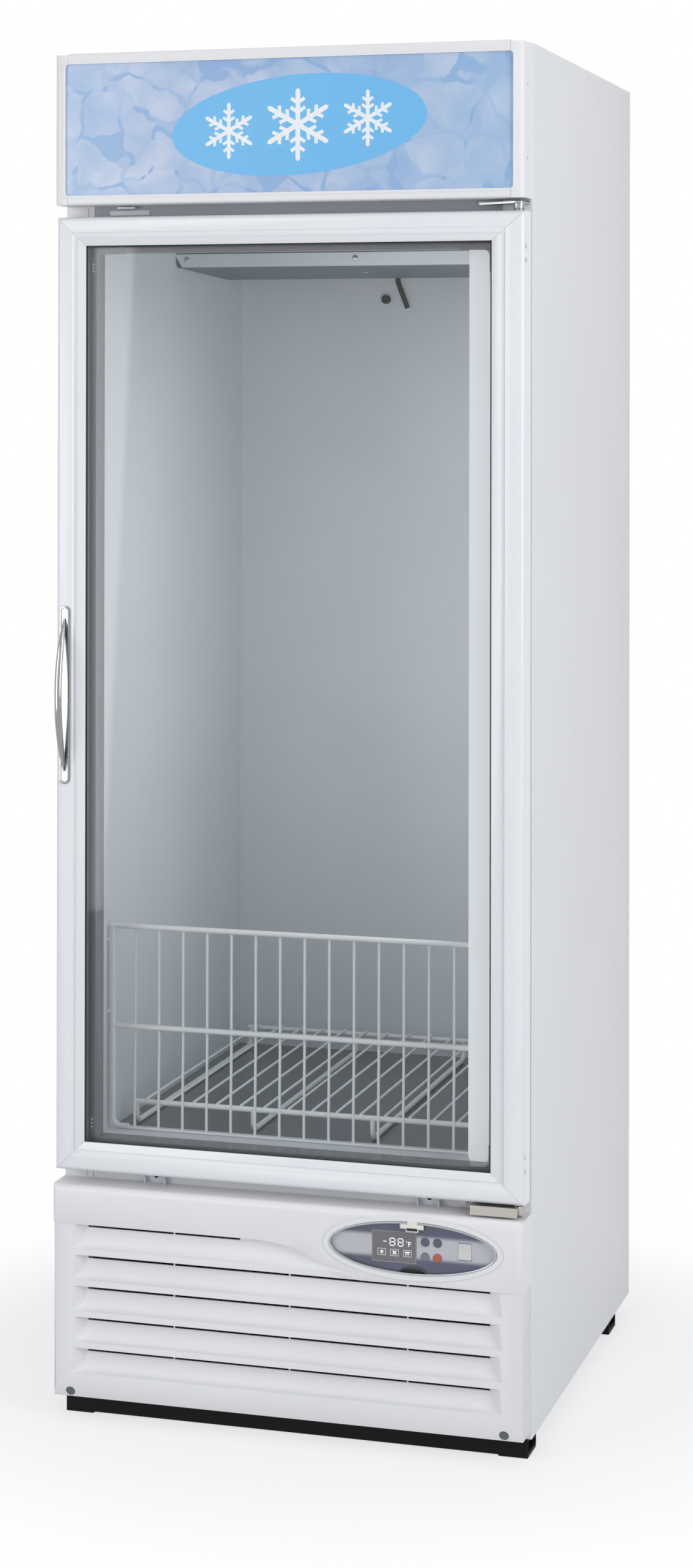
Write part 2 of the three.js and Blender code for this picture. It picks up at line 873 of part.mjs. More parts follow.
// The scooped face of one louvre, drawn in (y, z) below a slot whose top is at z.
const coveShape = (z) => {
  const start = z - slotHeight;
  const shape = new THREE.Shape();
  shape.moveTo(panelFront - 4, z);
  shape.lineTo(panelFront - 4, start - coveHeight);
  shape.lineTo(panelFront, start - coveHeight);
  for (const step of [5, 4, 3, 2, 1, 0]) {
    const angle = (step / 6) * (Math.PI / 2);
    shape.lineTo(panelFront + louvreDepth * Math.cos(angle), start - coveHeight * Math.sin(angle));
  }
  shape.lineTo(panelFront + louvreDepth, z);
  return shape;
};

// The hollow behind one louvre, which leaves the moulding an even wall.
const coveBack = (z, x0, x1) => {
  const start = z - slotHeight;
  const deep = louvreDepth + louvreWall;
  const tall = coveHeight + louvreWall;
  const last = Math.acos(louvreWall / deep);
  const rear = panelFront + deep + 2;
  const shape = new THREE.Shape();
  shape.moveTo(rear, start - louvreWall);
  shape.lineTo(rear, z - louvrePitch);
  shape.lineTo(panelFront + louvreWall, z - louvrePitch);
  for (const step of [6, 5, 4, 3, 2, 1]) {
    const angle = (step / 6) * last;
    shape.lineTo(panelFront + deep * Math.cos(angle), start - tall * Math.sin(angle));
  }
  shape.lineTo(panelFront + deep, start - louvreWall);
  return prismX(shape, x0, x1);
};

// The scoop is narrower the deeper it goes, so its ends slant.
const coveCutter = (z) => {
  const geometry = runAlongX(coveShape(z), -louvreHalfWidth, louvreHalfWidth);
  const position = geometry.attributes.position;
  for (let i = 0; i < position.count; i += 1) {
    const depth = Math.max(0, position.getY(i) - panelFront) / louvreDepth;
    const x = position.getX(i);
    position.setX(i, x - Math.sign(x) * louvreTaper * depth);
  }
  return solid(geometry);
};

// The first scoop runs out under the brow: it shrinks towards its lower edge as it goes right.
const runOutCutter = (z) => {
  const length = browCurveEnd + louvreHalfWidth;
  const shape = coveShape(z);
  const geometry = new THREE.ExtrudeGeometry(shape, { depth: length, steps: 16, bevelEnabled: false });
  const turn = new THREE.Matrix4().makeBasis(
    new THREE.Vector3(0, 1, 0),
    new THREE.Vector3(0, 0, 1),
    new THREE.Vector3(1, 0, 0),
  );
  geometry.applyMatrix4(turn).translate(-louvreHalfWidth, 0, 0);
  const crease = z - slotHeight - coveHeight;
  const position = geometry.attributes.position;
  for (let i = 0; i < position.count; i += 1) {
    const x = position.getX(i);
    const depth = Math.max(0, position.getY(i) - panelFront) / louvreDepth;
    const along = THREE.MathUtils.clamp((x - browCurveStart) / (browCurveEnd - browCurveStart), 0, 1);
    const size = 1 - 0.96 * along * along * (3 - 2 * along);
    if (x < -louvreHalfWidth + 1) position.setX(i, x + louvreTaper * depth);
    if (position.getY(i) > panelFront) position.setY(i, panelFront + (position.getY(i) - panelFront) * size);
    position.setZ(i, crease + (position.getZ(i) - crease) * size);
  }
  return solid(geometry);
};

const slotCutters = (z, x0, x1) => {
  const reach = panelFront + louvreDepth + louvreWall + 3;
  const ribs = [-1, 0, 1].map((n) => slotRibMiddle + n * slotRibPitch).filter((x) => x > x0 && x < x1);
  const stops = [x0, ...ribs.flatMap((x) => [x - slotRibWidth / 2, x + slotRibWidth / 2]), x1];
  const cutters = [];
  for (let i = 0; i < stops.length; i += 2)
    cutters.push(box(stops[i], stops[i + 1], panelFront - 4, reach, z - slotHeight, z));
  return cutters;
};

const lowerGrillePanel = () => {
  const body = prismX(panelSection(panelFront, 0, panelRound), -lowerPanelHalf, lowerPanelHalf);
  const brow = prismX(panelSection(browFront, 0, panelRound + browProud), -browHalf, browHalf);
  const outside = joined(
    body.intersect(prismZ(panelPlan(lowerPanelHalf, panelFront, panelRound), lowerPanelBottom - 1, cabinetTop, 4)),
    brow
      .intersect(prismZ(panelPlan(browHalf, browFront, panelRound + browProud), lowerPanelBottom, cabinetTop, 4))
      .intersect(prismY(browOutline(), browFront - 1, 1, 8)),
  );
  const mound = solid(
    new THREE.ExtrudeGeometry(
      ellipse(controlX, controlZ, controlHalfLength + moundWidth, controlHalfHeight + moundWidth),
      { depth: 1, bevelEnabled: true, bevelThickness: moundProud, bevelSize: -moundWidth / 2, bevelSegments: 2,
        curveSegments: 20 },
    )
      .applyMatrix4(
        new THREE.Matrix4().makeBasis(
          new THREE.Vector3(1, 0, 0),
          new THREE.Vector3(0, 0, 1),
          new THREE.Vector3(0, -1, 0),
        ),
      )
      .translate(0, browFront + 1, 0),
  );
  const inner = lowerPanelHalf - panelWall;
  const hollow = prismX(panelSection(panelFront, panelWall, panelRound - panelWall), -inner, inner);
  const thickBack = panelFront + louvreDepth + louvreWall;
  const lastSlot = slotTops[louvreCount - 1];
  const lowestCove = lastSlot - slotHeight - coveHeight;
  const backing = [
    box(
      -louvreHalfWidth - louvreWall,
      louvreHalfWidth + louvreWall,
      panelFront + 1,
      thickBack,
      lowestCove - louvreWall,
      firstSlotHeight - louvrePitch + louvreWall,
    ),
    box(
      -louvreHalfWidth - louvreWall,
      controlX - controlHalfLength - moundWidth + runOutBacking,
      panelFront + 1,
      thickBack,
      firstSlotHeight - louvrePitch,
      firstSlotHeight + louvreWall,
    ),
  ];
  const slotEnd = louvreHalfWidth - louvreTaper - slotEndMargin;
  const fronts = slotTops.map((z, i) => (i === 0 ? runOutCutter(z) : coveCutter(z)));
  const backs = slotTops.map((z, i) => coveBack(z, -slotEnd + 1, i === 0 ? shortSlotEnd : slotEnd - 1));
  const slots = slotTops.flatMap((z, i) => slotCutters(z, -slotEnd, i === 0 ? shortSlotEnd : slotEnd));
  const shell = cutBy(outside, hollow);
  return cutBy(
    joined(shell, mound, ...backing),
    ...backs,
    ...fronts,
    ...slots,
    prismY(
      ellipse(controlX, controlZ, controlHalfLength + seat, controlHalfHeight + seat),
      browFront - 10,
      thickBack + 5,
      20,
    ),
  );
};

// ---------- control panel ----------

const bezelFront = controlFront - bezelProud;
const fasciaFront = bezelFront + fasciaSetback;
const rimHalfLength = controlHalfLength - bezelRim;
const rimHalfHeight = controlHalfHeight - bezelRim;
const coverPivotZ = controlZ + rimHalfHeight - seat - coverPivotDrop;
const coverPivotY = bezelFront + coverPinSetback;

const controlBezel = () => {
  const rear = fasciaFront + fasciaThickness + seat;
  const outer = prismY(
    ellipse(controlX, controlZ, controlHalfLength, controlHalfHeight),
    bezelFront,
    bezelFront + bezelDepth,
    20,
  );
  const bore = prismY(ellipse(controlX, controlZ, rimHalfLength, rimHalfHeight), bezelFront - 1, rear, 20);
  const through = prismY(
    ellipse(controlX, controlZ, rimHalfLength - bezelShoulder, rimHalfHeight - bezelShoulder),
    rear - 1,
    bezelFront + bezelDepth + 1,
    20,
  );
  const lug = box(
    controlX - coverNotchWidth / 2 + runningGap,
    controlX + coverNotchWidth / 2 - runningGap,
    bezelFront - coverLugProud,
    fasciaFront - seat,
    coverPivotZ - coverPinRadius - 1.6,
    controlZ + rimHalfHeight + 1,
  );
  const pinBore = roundBar(
    "X",
    [coverPivotY, coverPivotZ],
    coverPinRadius + seat,
    controlX - coverNotchWidth / 2,
    controlX + coverNotchWidth / 2,
    8,
  );
  return cutBy(joined(cutBy(outer, bore, through), lug), pinBore);
};

const controlFascia = () => {
  const plate = prismY(
    ellipse(controlX, controlZ, rimHalfLength - seat, rimHalfHeight - seat),
    fasciaFront,
    fasciaFront + fasciaThickness,
    20,
  );
  const rear = fasciaFront + fasciaThickness + 1;
  const displayHole = box(
    displayX - displayWidth / 2 - seat,
    displayX + displayWidth / 2 + seat,
    fasciaFront - 1,
    rear,
    displayZ - displayHeight / 2 - seat,
    displayZ + displayHeight / 2 + seat,
  );
  const rockerHole = box(
    rockerX - rockerWidth / 2 - seat,
    rockerX + rockerWidth / 2 + seat,
    fasciaFront - 1,
    rear,
    rockerZ - rockerHeight / 2 - runningGap,
    rockerZ + rockerHeight / 2 + runningGap,
  );
  const buttonHoles = buttonPlaces.map(([, x, z]) =>
    roundBar("Y", [x, z], buttonRadius + seat, fasciaFront - 1, rear, 14),
  );
  return cutBy(plate, displayHole, rockerHole, ...buttonHoles);
};

const buttonPlaces = [
  ["light_button", buttonX, buttonZ + buttonPitchZ, darkButton],
  ["raise_button", buttonX + buttonPitchX, buttonZ + buttonPitchZ, darkButton],
  ["lower_button", buttonX, buttonZ, greyButton],
  ["alarm_button", buttonX + buttonPitchX, buttonZ, redButton],
];

// A capped button with a flange behind the fascia that keeps it in.
const button = (x, z) => {
  const front = fasciaFront - buttonProud;
  const flangeFront = fasciaFront + fasciaThickness + seat;
  const cap = [
    [0, 0],
    [buttonRadius - 1, 0],
    [buttonRadius, 0.8],
    [buttonRadius, flangeFront - front],
    [buttonRadius + 1.2, flangeFront - front],
    [buttonRadius + 1.2, flangeFront - front + 1.2],
    [0, flangeFront - front + 1.2],
  ].map(([radius, depth]) => new THREE.Vector2(radius, depth));
  return solid(new THREE.LatheGeometry(cap, 14).translate(x, front, z));
};

// The display stands in its window on the circuit board behind the fascia.
const displayModule = () => {
  const boardFront = fasciaFront + fasciaThickness + boardGap;
  const face = box(
    displayX - displayWidth / 2,
    displayX + displayWidth / 2,
    fasciaFront - seat,
    boardFront + 0.5,
    displayZ - displayHeight / 2,
    displayZ + displayHeight / 2,
  );
  const board = box(
    controlX - boardHalfLength,
    controlX + boardHalfLength,
    boardFront,
    boardFront + boardThickness,
    controlZ - boardHeight / 2,
    controlZ + boardHeight / 2,
  );
  const posts = [-1, 1].map((side) =>
    roundBar(
      "Y",
      [controlX + side * (boardHalfLength - 6), controlZ - boardHeight / 2 + 4],
      2.5,
      fasciaFront + fasciaThickness + seat,
      boardFront + 0.5,
      10,
    ),
  );
  return joined(board, face, ...posts);
};

const rockerPivotY = fasciaFront + fasciaThickness;

const rockerSwitch = () => {
  const front = fasciaFront - rockerProud;
  const half = rockerHeight / 2;
  const section = outline([
    [front, rockerZ - half],
    [front + 0.7, rockerZ],
    [front, rockerZ + half],
    [fasciaFront + fasciaThickness + 1, rockerZ + half - 0.4],
    [front + rockerBody, rockerZ + half / 2],
    [front + rockerBody, rockerZ - half / 2],
    [fasciaFront + fasciaThickness + 1, rockerZ - half + 0.4],
  ]);
  const geometry = runAlongX(section, rockerX - rockerWidth / 2, rockerX + rockerWidth / 2);
  geometry.translate(0, -rockerPivotY, -rockerZ);
  geometry.rotateX(THREE.MathUtils.degToRad(-rockerTilt));
  geometry.translate(0, rockerPivotY, rockerZ);
  return solid(geometry);
};

// The flip cover: a clear oval with a notch round the hinge lug, two pin stubs and a finger notch.
const controlCover = () => {
  const front = bezelFront;
  const plate = prismY(
    ellipse(controlX, controlZ, rimHalfLength - runningGap / 2, rimHalfHeight - runningGap / 2),
    front,
    front + coverThickness,
    20,
  );
  const notch = box(
    controlX - coverNotchWidth / 2,
    controlX + coverNotchWidth / 2,
    front - 2,
    front + coverThickness + 1,
    coverPivotZ - coverNotchDepth + coverPivotDrop,
    controlZ + controlHalfHeight + 1,
  );
  const finger = prismY(
    ellipse(controlX, controlZ - rimHalfHeight, fingerNotchWidth / 2, fingerNotchDepth),
    front - 1,
    front + coverThickness + 1,
    6,
  );
  const pins = [-1, 1].map((side) => {
    const inner = controlX + side * (coverNotchWidth / 2 - 3.5);
    const outer = controlX + side * (coverNotchWidth / 2 + 1);
    const from = Math.min(inner, outer);
    const to = Math.max(inner, outer);
    return roundBar("X", [coverPivotY, coverPivotZ], coverPinRadius - 0.15, from, to, 8);
  });
  return joined(cutBy(plate, notch, finger), ...pins);
};

// ---------- door ----------

// The frame section, drawn as (distance from the outer edge, y), for a member of a given width.
const frameSection = (width) => {
  const shape = new THREE.Shape();
  const lipBack = doorFront + frameLip;
  const steps = [0, 1, 2, 3, 4];
  const edge = frameRound;
  shape.moveTo(0, doorBack);
  steps.forEach((step) => {
    const angle = (step / 4) * (Math.PI / 2);
    shape.lineTo((edge - edge * Math.cos(angle)) / width, doorFront + edge - edge * Math.sin(angle));
  });
  shape.lineTo((width - frameStepInset - 1.5) / width, doorFront);
  shape.lineTo((width - frameStepInset) / width, doorFront + frameStepDepth);
  shape.lineTo((width - 2) / width, doorFront + frameStepDepth);
  shape.lineTo(1, doorFront + frameStepDepth + 1);
  shape.lineTo(1, lipBack);
  shape.lineTo((width - glassGroove) / width, lipBack);
  shape.lineTo((width - glassGroove) / width, doorBack);
  return shape;
};

// One mitred member: its section runs between two corner lines, each from the outer to the inner corner.
const frameMember = (width, start, end) => {
  const geometry = extruded(frameSection(width), 1);
  const position = geometry.attributes.position;
  for (let i = 0; i < position.count; i += 1) {
    const across = position.getX(i);
    const y = position.getY(i);
    const corner = position.getZ(i) < 0.5 ? start : end;
    position.setXYZ(
      i,
      corner.outer[0] + across * (corner.inner[0] - corner.outer[0]),
      y,
      corner.outer[1] + across * (corner.inner[1] - corner.outer[1]),
    );
  }
  return solid(geometry);
};

const doorCorner = (sideX, sideZ, shiftX, shiftZ) => {
  const outer = [sideX * doorHalf + shiftX, (sideZ > 0 ? doorTop : doorBottom) + shiftZ];
  const inner = [(sideX > 0 ? glassRight : glassLeft) + shiftX, (sideZ > 0 ? glassTop : glassBottom) + shiftZ];
  return { outer, inner };
};

const pivotBore = (upper) => {
  const edge = upper ? doorTop : doorBottom;
  const turn = upper ? -1 : 1;
  const from = edge - turn * 1;
  const to = edge + turn * (pinReach + runningGap);
  return roundBar("Z", [pivotX, pivotY], pinRadius + runningGap, Math.min(from, to), Math.max(from, to), 12);
};

const doorStile = (side) => {
  const width = side > 0 ? hingeStileWidth : handleStileWidth;
  const low = doorCorner(side, -1, 0, seat);
  const high = doorCorner(side, 1, 0, -seat);
  const member = side > 0 ? frameMember(width, high, low) : frameMember(width, low, high);
  return side > 0 ? cutBy(member, pivotBore(true), pivotBore(false)) : member;
};

const doorRail = (side) => {
  const width = side > 0 ? topRailWidth : bottomRailWidth;
  const left = doorCorner(-1, side, 0, 0);
  const right = doorCorner(1, side, 0, 0);
  const member = side > 0 ? frameMember(width, left, right) : frameMember(width, right, left);
  return cutBy(member, pivotBore(side > 0));
};

const paneLeft = -doorHalf + Math.max(handleStileWidth, hingeStileWidth) - glassGroove + paneMargin;
const paneRight = -paneLeft;
const paneBottom = glassBottom - glassGroove + paneMargin;
const paneTop = glassTop + glassGroove - paneMargin;
const outerPaneFront = doorFront + frameLip + paneGap;
const spacerFront = outerPaneFront + paneThickness + paneGap;
const innerPaneFront = spacerFront + spacerDepth + paneGap;
const throatFront = innerPaneFront + paneThickness + paneGap;

const pane = (front) => box(paneLeft, paneRight, front, front + paneThickness, paneBottom, paneTop);

const glassSpacer = () =>
  cutBy(
    box(paneLeft, paneRight, spacerFront, spacerFront + spacerDepth, paneBottom, paneTop),
    box(
      paneLeft + spacerWidth,
      paneRight - spacerWidth,
      spacerFront - 1,
      spacerFront + spacerDepth + 1,
      paneBottom + spacerWidth,
      paneTop - spacerWidth,
    ),
  );

// The dark inner frame: a flange behind the glass, a throat that reaches into the cabinet, and an
// L-shaped key plate across each front corner.
const doorInnerFrame = () => {
  const innerHalf = doorHalf - throatSideInset + 1.5;
  const innerBottom = glassBottom + throatBottomInset;
  const innerTop = glassTop - throatTopInset;
  const front = throatFront + keyProud;
  const flange = box(paneLeft, paneRight, front, doorBack + seat, paneBottom, paneTop);
  const throat = box(
    -innerHalf - throatWall,
    innerHalf + throatWall,
    front,
    throatReach,
    innerBottom - throatWall,
    innerTop + throatWall,
  );
  const keys = [-1, 1].flatMap((sideX) =>
    [-1, 1].map((sideZ) => {
      const outerX = sideX * -paneLeft;
      const outerZ = sideZ > 0 ? paneTop : paneBottom;
      const innerX = sideX * (innerHalf + seat - keyWidth);
      const innerZ = sideZ > 0 ? innerTop - keyWidth : innerBottom + keyWidth;
      const reachX = innerX - sideX * (keyArm - throatTopInset);
      const reachZ = innerZ - sideZ * keyArm * 0.6;
      const shape = outline([
        [outerX, outerZ],
        [reachX, outerZ],
        [reachX, innerZ],
        [innerX - sideX * keyCorner, innerZ],
        [innerX - sideX * keyCorner * 0.3, innerZ - sideZ * keyCorner * 0.3],
        [innerX, innerZ - sideZ * keyCorner],
        [innerX, reachZ],
        [outerX, reachZ],
      ]);
      return prismY(shape, throatFront, front + 3);
    }),
  );
  const opening = box(-innerHalf, innerHalf, throatFront - 1, throatReach + 1, innerBottom, innerTop);
  return joined(cutBy(joined(flange, throat), opening), ...keys);
};

const doorGasket = () => {
  const ring = (inset) =>
    roundedRectangle(-doorHalf + inset, doorHalf - inset, doorBottom + inset / 3, doorTop - inset / 3, 3);
  const depth = [doorBack + seat, -seat];
  return cutBy(
    prismY(ring(gasketInset), ...depth, 2),
    prismY(
      roundedRectangle(
        -doorHalf + gasketInset + gasketWidth,
        doorHalf - gasketInset - gasketWidth,
        doorBottom + gasketInset / 3 + gasketWidth,
        doorTop - gasketInset / 3 - gasketWidth,
        2,
      ),
      depth[0] - 1,
      depth[1] + 1,
      2,
    ),
  );
};

// An oval plate with a bow that stands off it for the fingers, cast in one.
const doorHandle = () => {
  const plateFront = doorFront - seat - handlePlate;
  const stadium = roundedRectangle(
    handleX - handleWidth / 2,
    handleX + handleWidth / 2,
    handleHeight - handleLength / 2,
    handleHeight + handleLength / 2,
    handleWidth / 2 - 0.1,
  );
  const plate = prismY(stadium, plateFront, doorFront - seat, 6);
  const section = new THREE.Shape();
  section.absellipse(0, 0, bowWidth / 2, bowDepth / 2, 0, Math.PI * 2);
  const crown = doorFront - handleProjection + bowDepth / 2;
  const path = new THREE.CubicBezierCurve3(
    new THREE.Vector3(handleX, plateFront + 1, handleHeight - bowSpan / 2),
    new THREE.Vector3(handleX, crown - (plateFront + 1 - crown) / 3, handleHeight - bowSpan / 4),
    new THREE.Vector3(handleX, crown - (plateFront + 1 - crown) / 3, handleHeight + bowSpan / 4),
    new THREE.Vector3(handleX, plateFront + 1, handleHeight + bowSpan / 2),
  );
  const bow = solid(
    new THREE.ExtrudeGeometry(section, {
      steps: 14,
      extrudePath: path,
      bevelEnabled: false,
      curveSegments: 6,
    }),
  );
  const door = box(
    handleX - handleWidth,
    handleX + handleWidth,
    doorFront - seat,
    0,
    handleHeight - handleLength / 2,
    handleHeight + handleLength / 2,
  );
  return cutBy(joined(plate, bow), door);
};

// ---------- hinges ----------

// How far down and up a bracket reaches in the gap above or below the door.
const hingeSpan = (upper) => {
  const middle = upper ? doorTop + doorGapAbove / 2 : doorBottom - doorGapBelow / 2;
  return [middle - hingeBlockHeight / 2, middle + hingeBlockHeight / 2];
};

const hingeBore = (low, high) => roundBar("Z", [pivotX, pivotY], pinRadius + seat, low - 1, high + 1, 12);

// The upper bracket: a foot on the cabinet face, a flat plate that narrows towards the pivot, and
// a bush down to the door.
const upperHingeBracket = () => {
  const [low, high] = hingeSpan(true);
  const left = pivotX + hingeSide - hingeArm;
  const right = pivotX + hingeBossRadius + 2;
  const nose = pivotY - hingeBossRadius - 2;
  const plateTop = high - hingePlateDrop;
  const plan = outline([
    [left, -seat],
    [pivotX - hingeBossRadius, nose],
    [pivotX + hingeSide, nose],
    [right, -seat],
  ]);
  const plate = prismZ(plan, plateTop - hingePlate, plateTop);
  const foot = box(left, right, -seat - hingePlate, -seat, plateTop - hingePlate, high);
  const bush = roundBar("Z", [pivotX, pivotY], hingeBossRadius, low, plateTop, 14);
  return cutBy(joined(plate, foot, bush), hingeBore(low, high));
};

// The lower bracket: a foot on the cabinet face, an arm, a front apron and a boss round the pin.
const lowerHingeBracket = () => {
  const [low, high] = hingeSpan(false);
  const right = pivotX + hingeSide;
  const left = right - hingeArm;
  const front = doorFront - hingePlate / 2;
  const foot = box(left - hingeFootExtra, right, -seat - hingePlate, -seat, low, high);
  const arm = box(left, right, front, -seat, high - hingePlate, high);
  const apron = box(left, right, front, front + hingePlate, low, high);
  const boss = roundBar("Z", [pivotX, pivotY], hingeBossRadius, low, high, 14);
  return cutBy(joined(foot, arm, apron, boss), hingeBore(low, high));
};

// The pin with its washer, standing in the bracket and reaching into the door.
const hingePin = (upper) => {
  const doorEdge = upper ? doorTop : doorBottom;
  const turn = upper ? -1 : 1;
  const [low, high] = hingeSpan(upper);
  const bracketFace = upper ? low : high;
  const far = upper ? high : low;
  const reach = doorEdge + turn * pinReach;
  const pin = roundBar("Z", [pivotX, pivotY], pinRadius, Math.min(far, reach), Math.max(far, reach), 12);
  const washerFrom = bracketFace + turn * seat;
  const washerTo = doorEdge - turn * seat;
  const washer = roundBar(
    "Z",
    [pivotX, pivotY],
    washerRadius,
    Math.min(washerFrom, washerTo),
    Math.max(washerFrom, washerTo),
    14,
  );
  return joined(pin, washer);
};

// ---------- evaporator ----------

const fanZ = ceiling - fanDrop;
const evaporatorHalf = linerHalf - seat;
const evaporatorBottom = ceiling - evaporatorDrop;

const evaporatorCover = () => {
  const t = evaporatorSheet;
  const front = evaporatorFront;
  const bend = evaporatorBend;
  const rearZ = evaporatorBottom - evaporatorFall;
  const section = outline([
    [front, ceiling - seat],
    [front, evaporatorBottom + bend],
    [front + bend * 0.3, evaporatorBottom + bend * 0.3],
    [front + bend, evaporatorBottom - 0.4],
    [evaporatorRear, rearZ],
    [evaporatorRear, rearZ + 14],
    [evaporatorRear - t, rearZ + 14],
    [evaporatorRear - t, rearZ + t],
    [front + bend, evaporatorBottom - 0.4 + t],
    [front + bend * 0.3 + t, evaporatorBottom + bend * 0.3 + t * 0.6],
    [front + t, evaporatorBottom + bend],
    [front + t, ceiling - seat],
  ]);
  const skin = prismX(section, -evaporatorHalf, evaporatorHalf);
  const holeRadius = fanRadius + fanHoleGap;
  const lip = roundBar("Y", [0, fanZ], holeRadius + 3, front - fanLipDepth, front + t / 2, 30);
  const hole = roundBar("Y", [0, fanZ], holeRadius, front - fanLipDepth - 1, front + t + 1, 30);
  return cutBy(joined(skin, lip), hole);
};

// A finned block with the tube bends showing at both ends.
const finnedCoil = (half, y0, y1, z0, z1, fins, finDepth) => {
  const pitch = (2 * half) / fins;
  const points = [[-half, y1]];
  for (let i = 0; i < fins; i += 1) {
    const x = -half + i * pitch;
    points.push([x, y0], [x + pitch / 2, y0], [x + pitch / 2, y0 + finDepth], [x + pitch, y0 + finDepth]);
  }
  points.push([half, y1]);
  const block = prismZ(outline(points), z0, z1);
  const rows = 4;
  const bends = [-1, 1].flatMap((side) =>
    Array.from({ length: rows }, (_, row) => {
      const z = z0 + ((row + 0.5) * (z1 - z0)) / rows;
      const from = side > 0 ? half - 1 : -half - 12;
      return roundBar("X", [(y0 + y1) / 2, z], 5, from, from + 13, 6);
    }),
  );
  return joined(block, ...bends);
};

const evaporatorCoil = () => {
  const rear = linerRear - coilRearGap;
  const bottom = ceiling - seat - coilHeight;
  return finnedCoil(coilHalfLength, rear - coilDepth, rear, bottom, ceiling - seat, coilFins, coilFinDepth);
};

// One fan: a hub with pitched blades, turning about Y.
const axialFan = (x, y, z, radius, hubRadius) => {
  const hub = roundBar("Y", [0, 0], hubRadius, -fanHubLength / 2, fanHubLength / 2, 16);
  const blades = Array.from({ length: fanBlades }, (_, i) => {
    const spread = Math.PI / fanBlades;
    const shape = new THREE.Shape();
    shape.absarc(0, 0, hubRadius - 4, -spread * 0.5, spread * 0.5, false);
    shape.absarc(0, 0, radius, spread * 0.62, -spread * 0.45, true);
    const geometry = runAlongY(shape, -bladeThickness / 2, bladeThickness / 2, 3);
    const position = geometry.attributes.position;
    for (let k = 0; k < position.count; k += 1) {
      const reach = Math.hypot(position.getX(k), position.getZ(k));
      const limit = (fanHubLength / 2) * 0.95;
      const rise = THREE.MathUtils.clamp(position.getZ(k) * bladePitch * (hubRadius * 2.2) / reach, -limit, limit);
      position.setY(k, position.getY(k) + rise);
    }
    geometry.rotateY((i * Math.PI * 2) / fanBlades);
    return solid(geometry);
  });
  return joined(hub, ...blades).translate([x, y, z]);
};

const evaporatorFanY = evaporatorFront + evaporatorSheet;

const evaporatorFan = () => axialFan(0, evaporatorFanY, fanZ, fanRadius, fanHubRadius);

// The motor hangs on three struts from the inside of the cover.
const evaporatorFanMotor = () => {
  const front = evaporatorFanY + fanHubLength / 2 + seat;
  const can = roundBar("Y", [0, fanZ], motorRadius, front, front + motorLength, 18);
  const seatY = evaporatorFront + evaporatorSheet + seat;
  const holeRadius = fanRadius + fanHoleGap;
  const struts = [0, 1, 2].map((i) => {
    const angle = Math.PI / 2 + (i * Math.PI * 2) / 3;
    const far = holeRadius + 12;
    const at = (radius, y) => [radius * Math.cos(angle), y, fanZ + radius * Math.sin(angle)];
    const arm = bentRod([at(motorRadius - 4, front + 30), at(far, front + 30)], 4, 6, 1);
    const leg = bentRod([at(far - 1, front + 32), at(far - 1, seatY)], 4, 6, 1);
    return joined(arm, leg);
  });
  return joined(can, ...struts);
};

// ---------- fittings inside the cabinet ----------

// A lamp beside the hinge side of the opening: back channel and rounded diffuser in one long bar.
const interiorLamp = () => {
  const y0 = throatReach + lampBarGap;
  const bottom = floorTop + seat + sillHeight + seat;
  const face = roundedRectangle(
    lampBarX - lampBarWidth / 2,
    lampBarX + lampBarWidth / 2,
    bottom,
    openingTop - seat,
    lampCorner,
  );
  const base = box(
    lampBarX + lampBarWidth / 2 - 6,
    linerHalf - seat,
    y0 + 4,
    y0 + lampBarDepth,
    bottom + 60,
    openingTop - 60,
  );
  return joined(prismY(face, y0, y0 + lampBarDepth, 4), base);
};

const wireGuard = () => {
  const y = guardSetback;
  const sillTop = floorTop + seat + sillHeight;
  const bottomZ = sillTop + seat + guardBottomRod;
  const topRod = roundBar("X", [y, guardTop], guardRod, -guardHalfWidth - 3, guardHalfWidth + 3, 8);
  const middleRod = roundBar("X", [y, guardMiddle], guardRod, -guardHalfWidth, guardHalfWidth, 8);
  const bottomRod = roundBar("X", [y, bottomZ], guardBottomRod, -guardHalfWidth + 4, guardHalfWidth - 4, 6);
  const behind = y + guardRod + guardWire - 1.4;
  const wires = Array.from({ length: guardWires }, (_, i) => {
    const x = (i - (guardWires - 1) / 2) * guardPitch;
    return bentRod(
      [
        [x, behind, guardTop],
        [x, behind, guardMiddle],
        [x, y + 1.5, bottomZ + 30],
        [x, y + 1.5, bottomZ - 1],
      ],
      guardWire,
      6,
      3,
    );
  });
  const ends = [-1, 1].map((side) =>
    bentRod(
      [
        [side * guardHalfWidth, y, guardTop],
        [side * guardHalfWidth, y, guardMiddle],
        [side * guardHalfWidth, y, bottomZ + 14],
        [side * (guardHalfWidth - 3), y, bottomZ + 5],
        [side * (guardHalfWidth - 10), y, bottomZ + guardRod - guardBottomRod],
      ],
      guardRod,
      8,
      7,
    ),
  );
  const hooks = [-1, 1].flatMap((side) =>
    [guardTop - 20, guardMiddle + 20].map((z) => {
      const from = side > 0 ? guardHalfWidth : -linerHalf + seat;
      const to = side > 0 ? linerHalf - seat : -guardHalfWidth;
      return roundBar("X", [y, z], 3, from, to, 6);
    }),
  );
  return joined(topRod, middleRod, bottomRod, ...wires, ...ends, ...hooks);
};

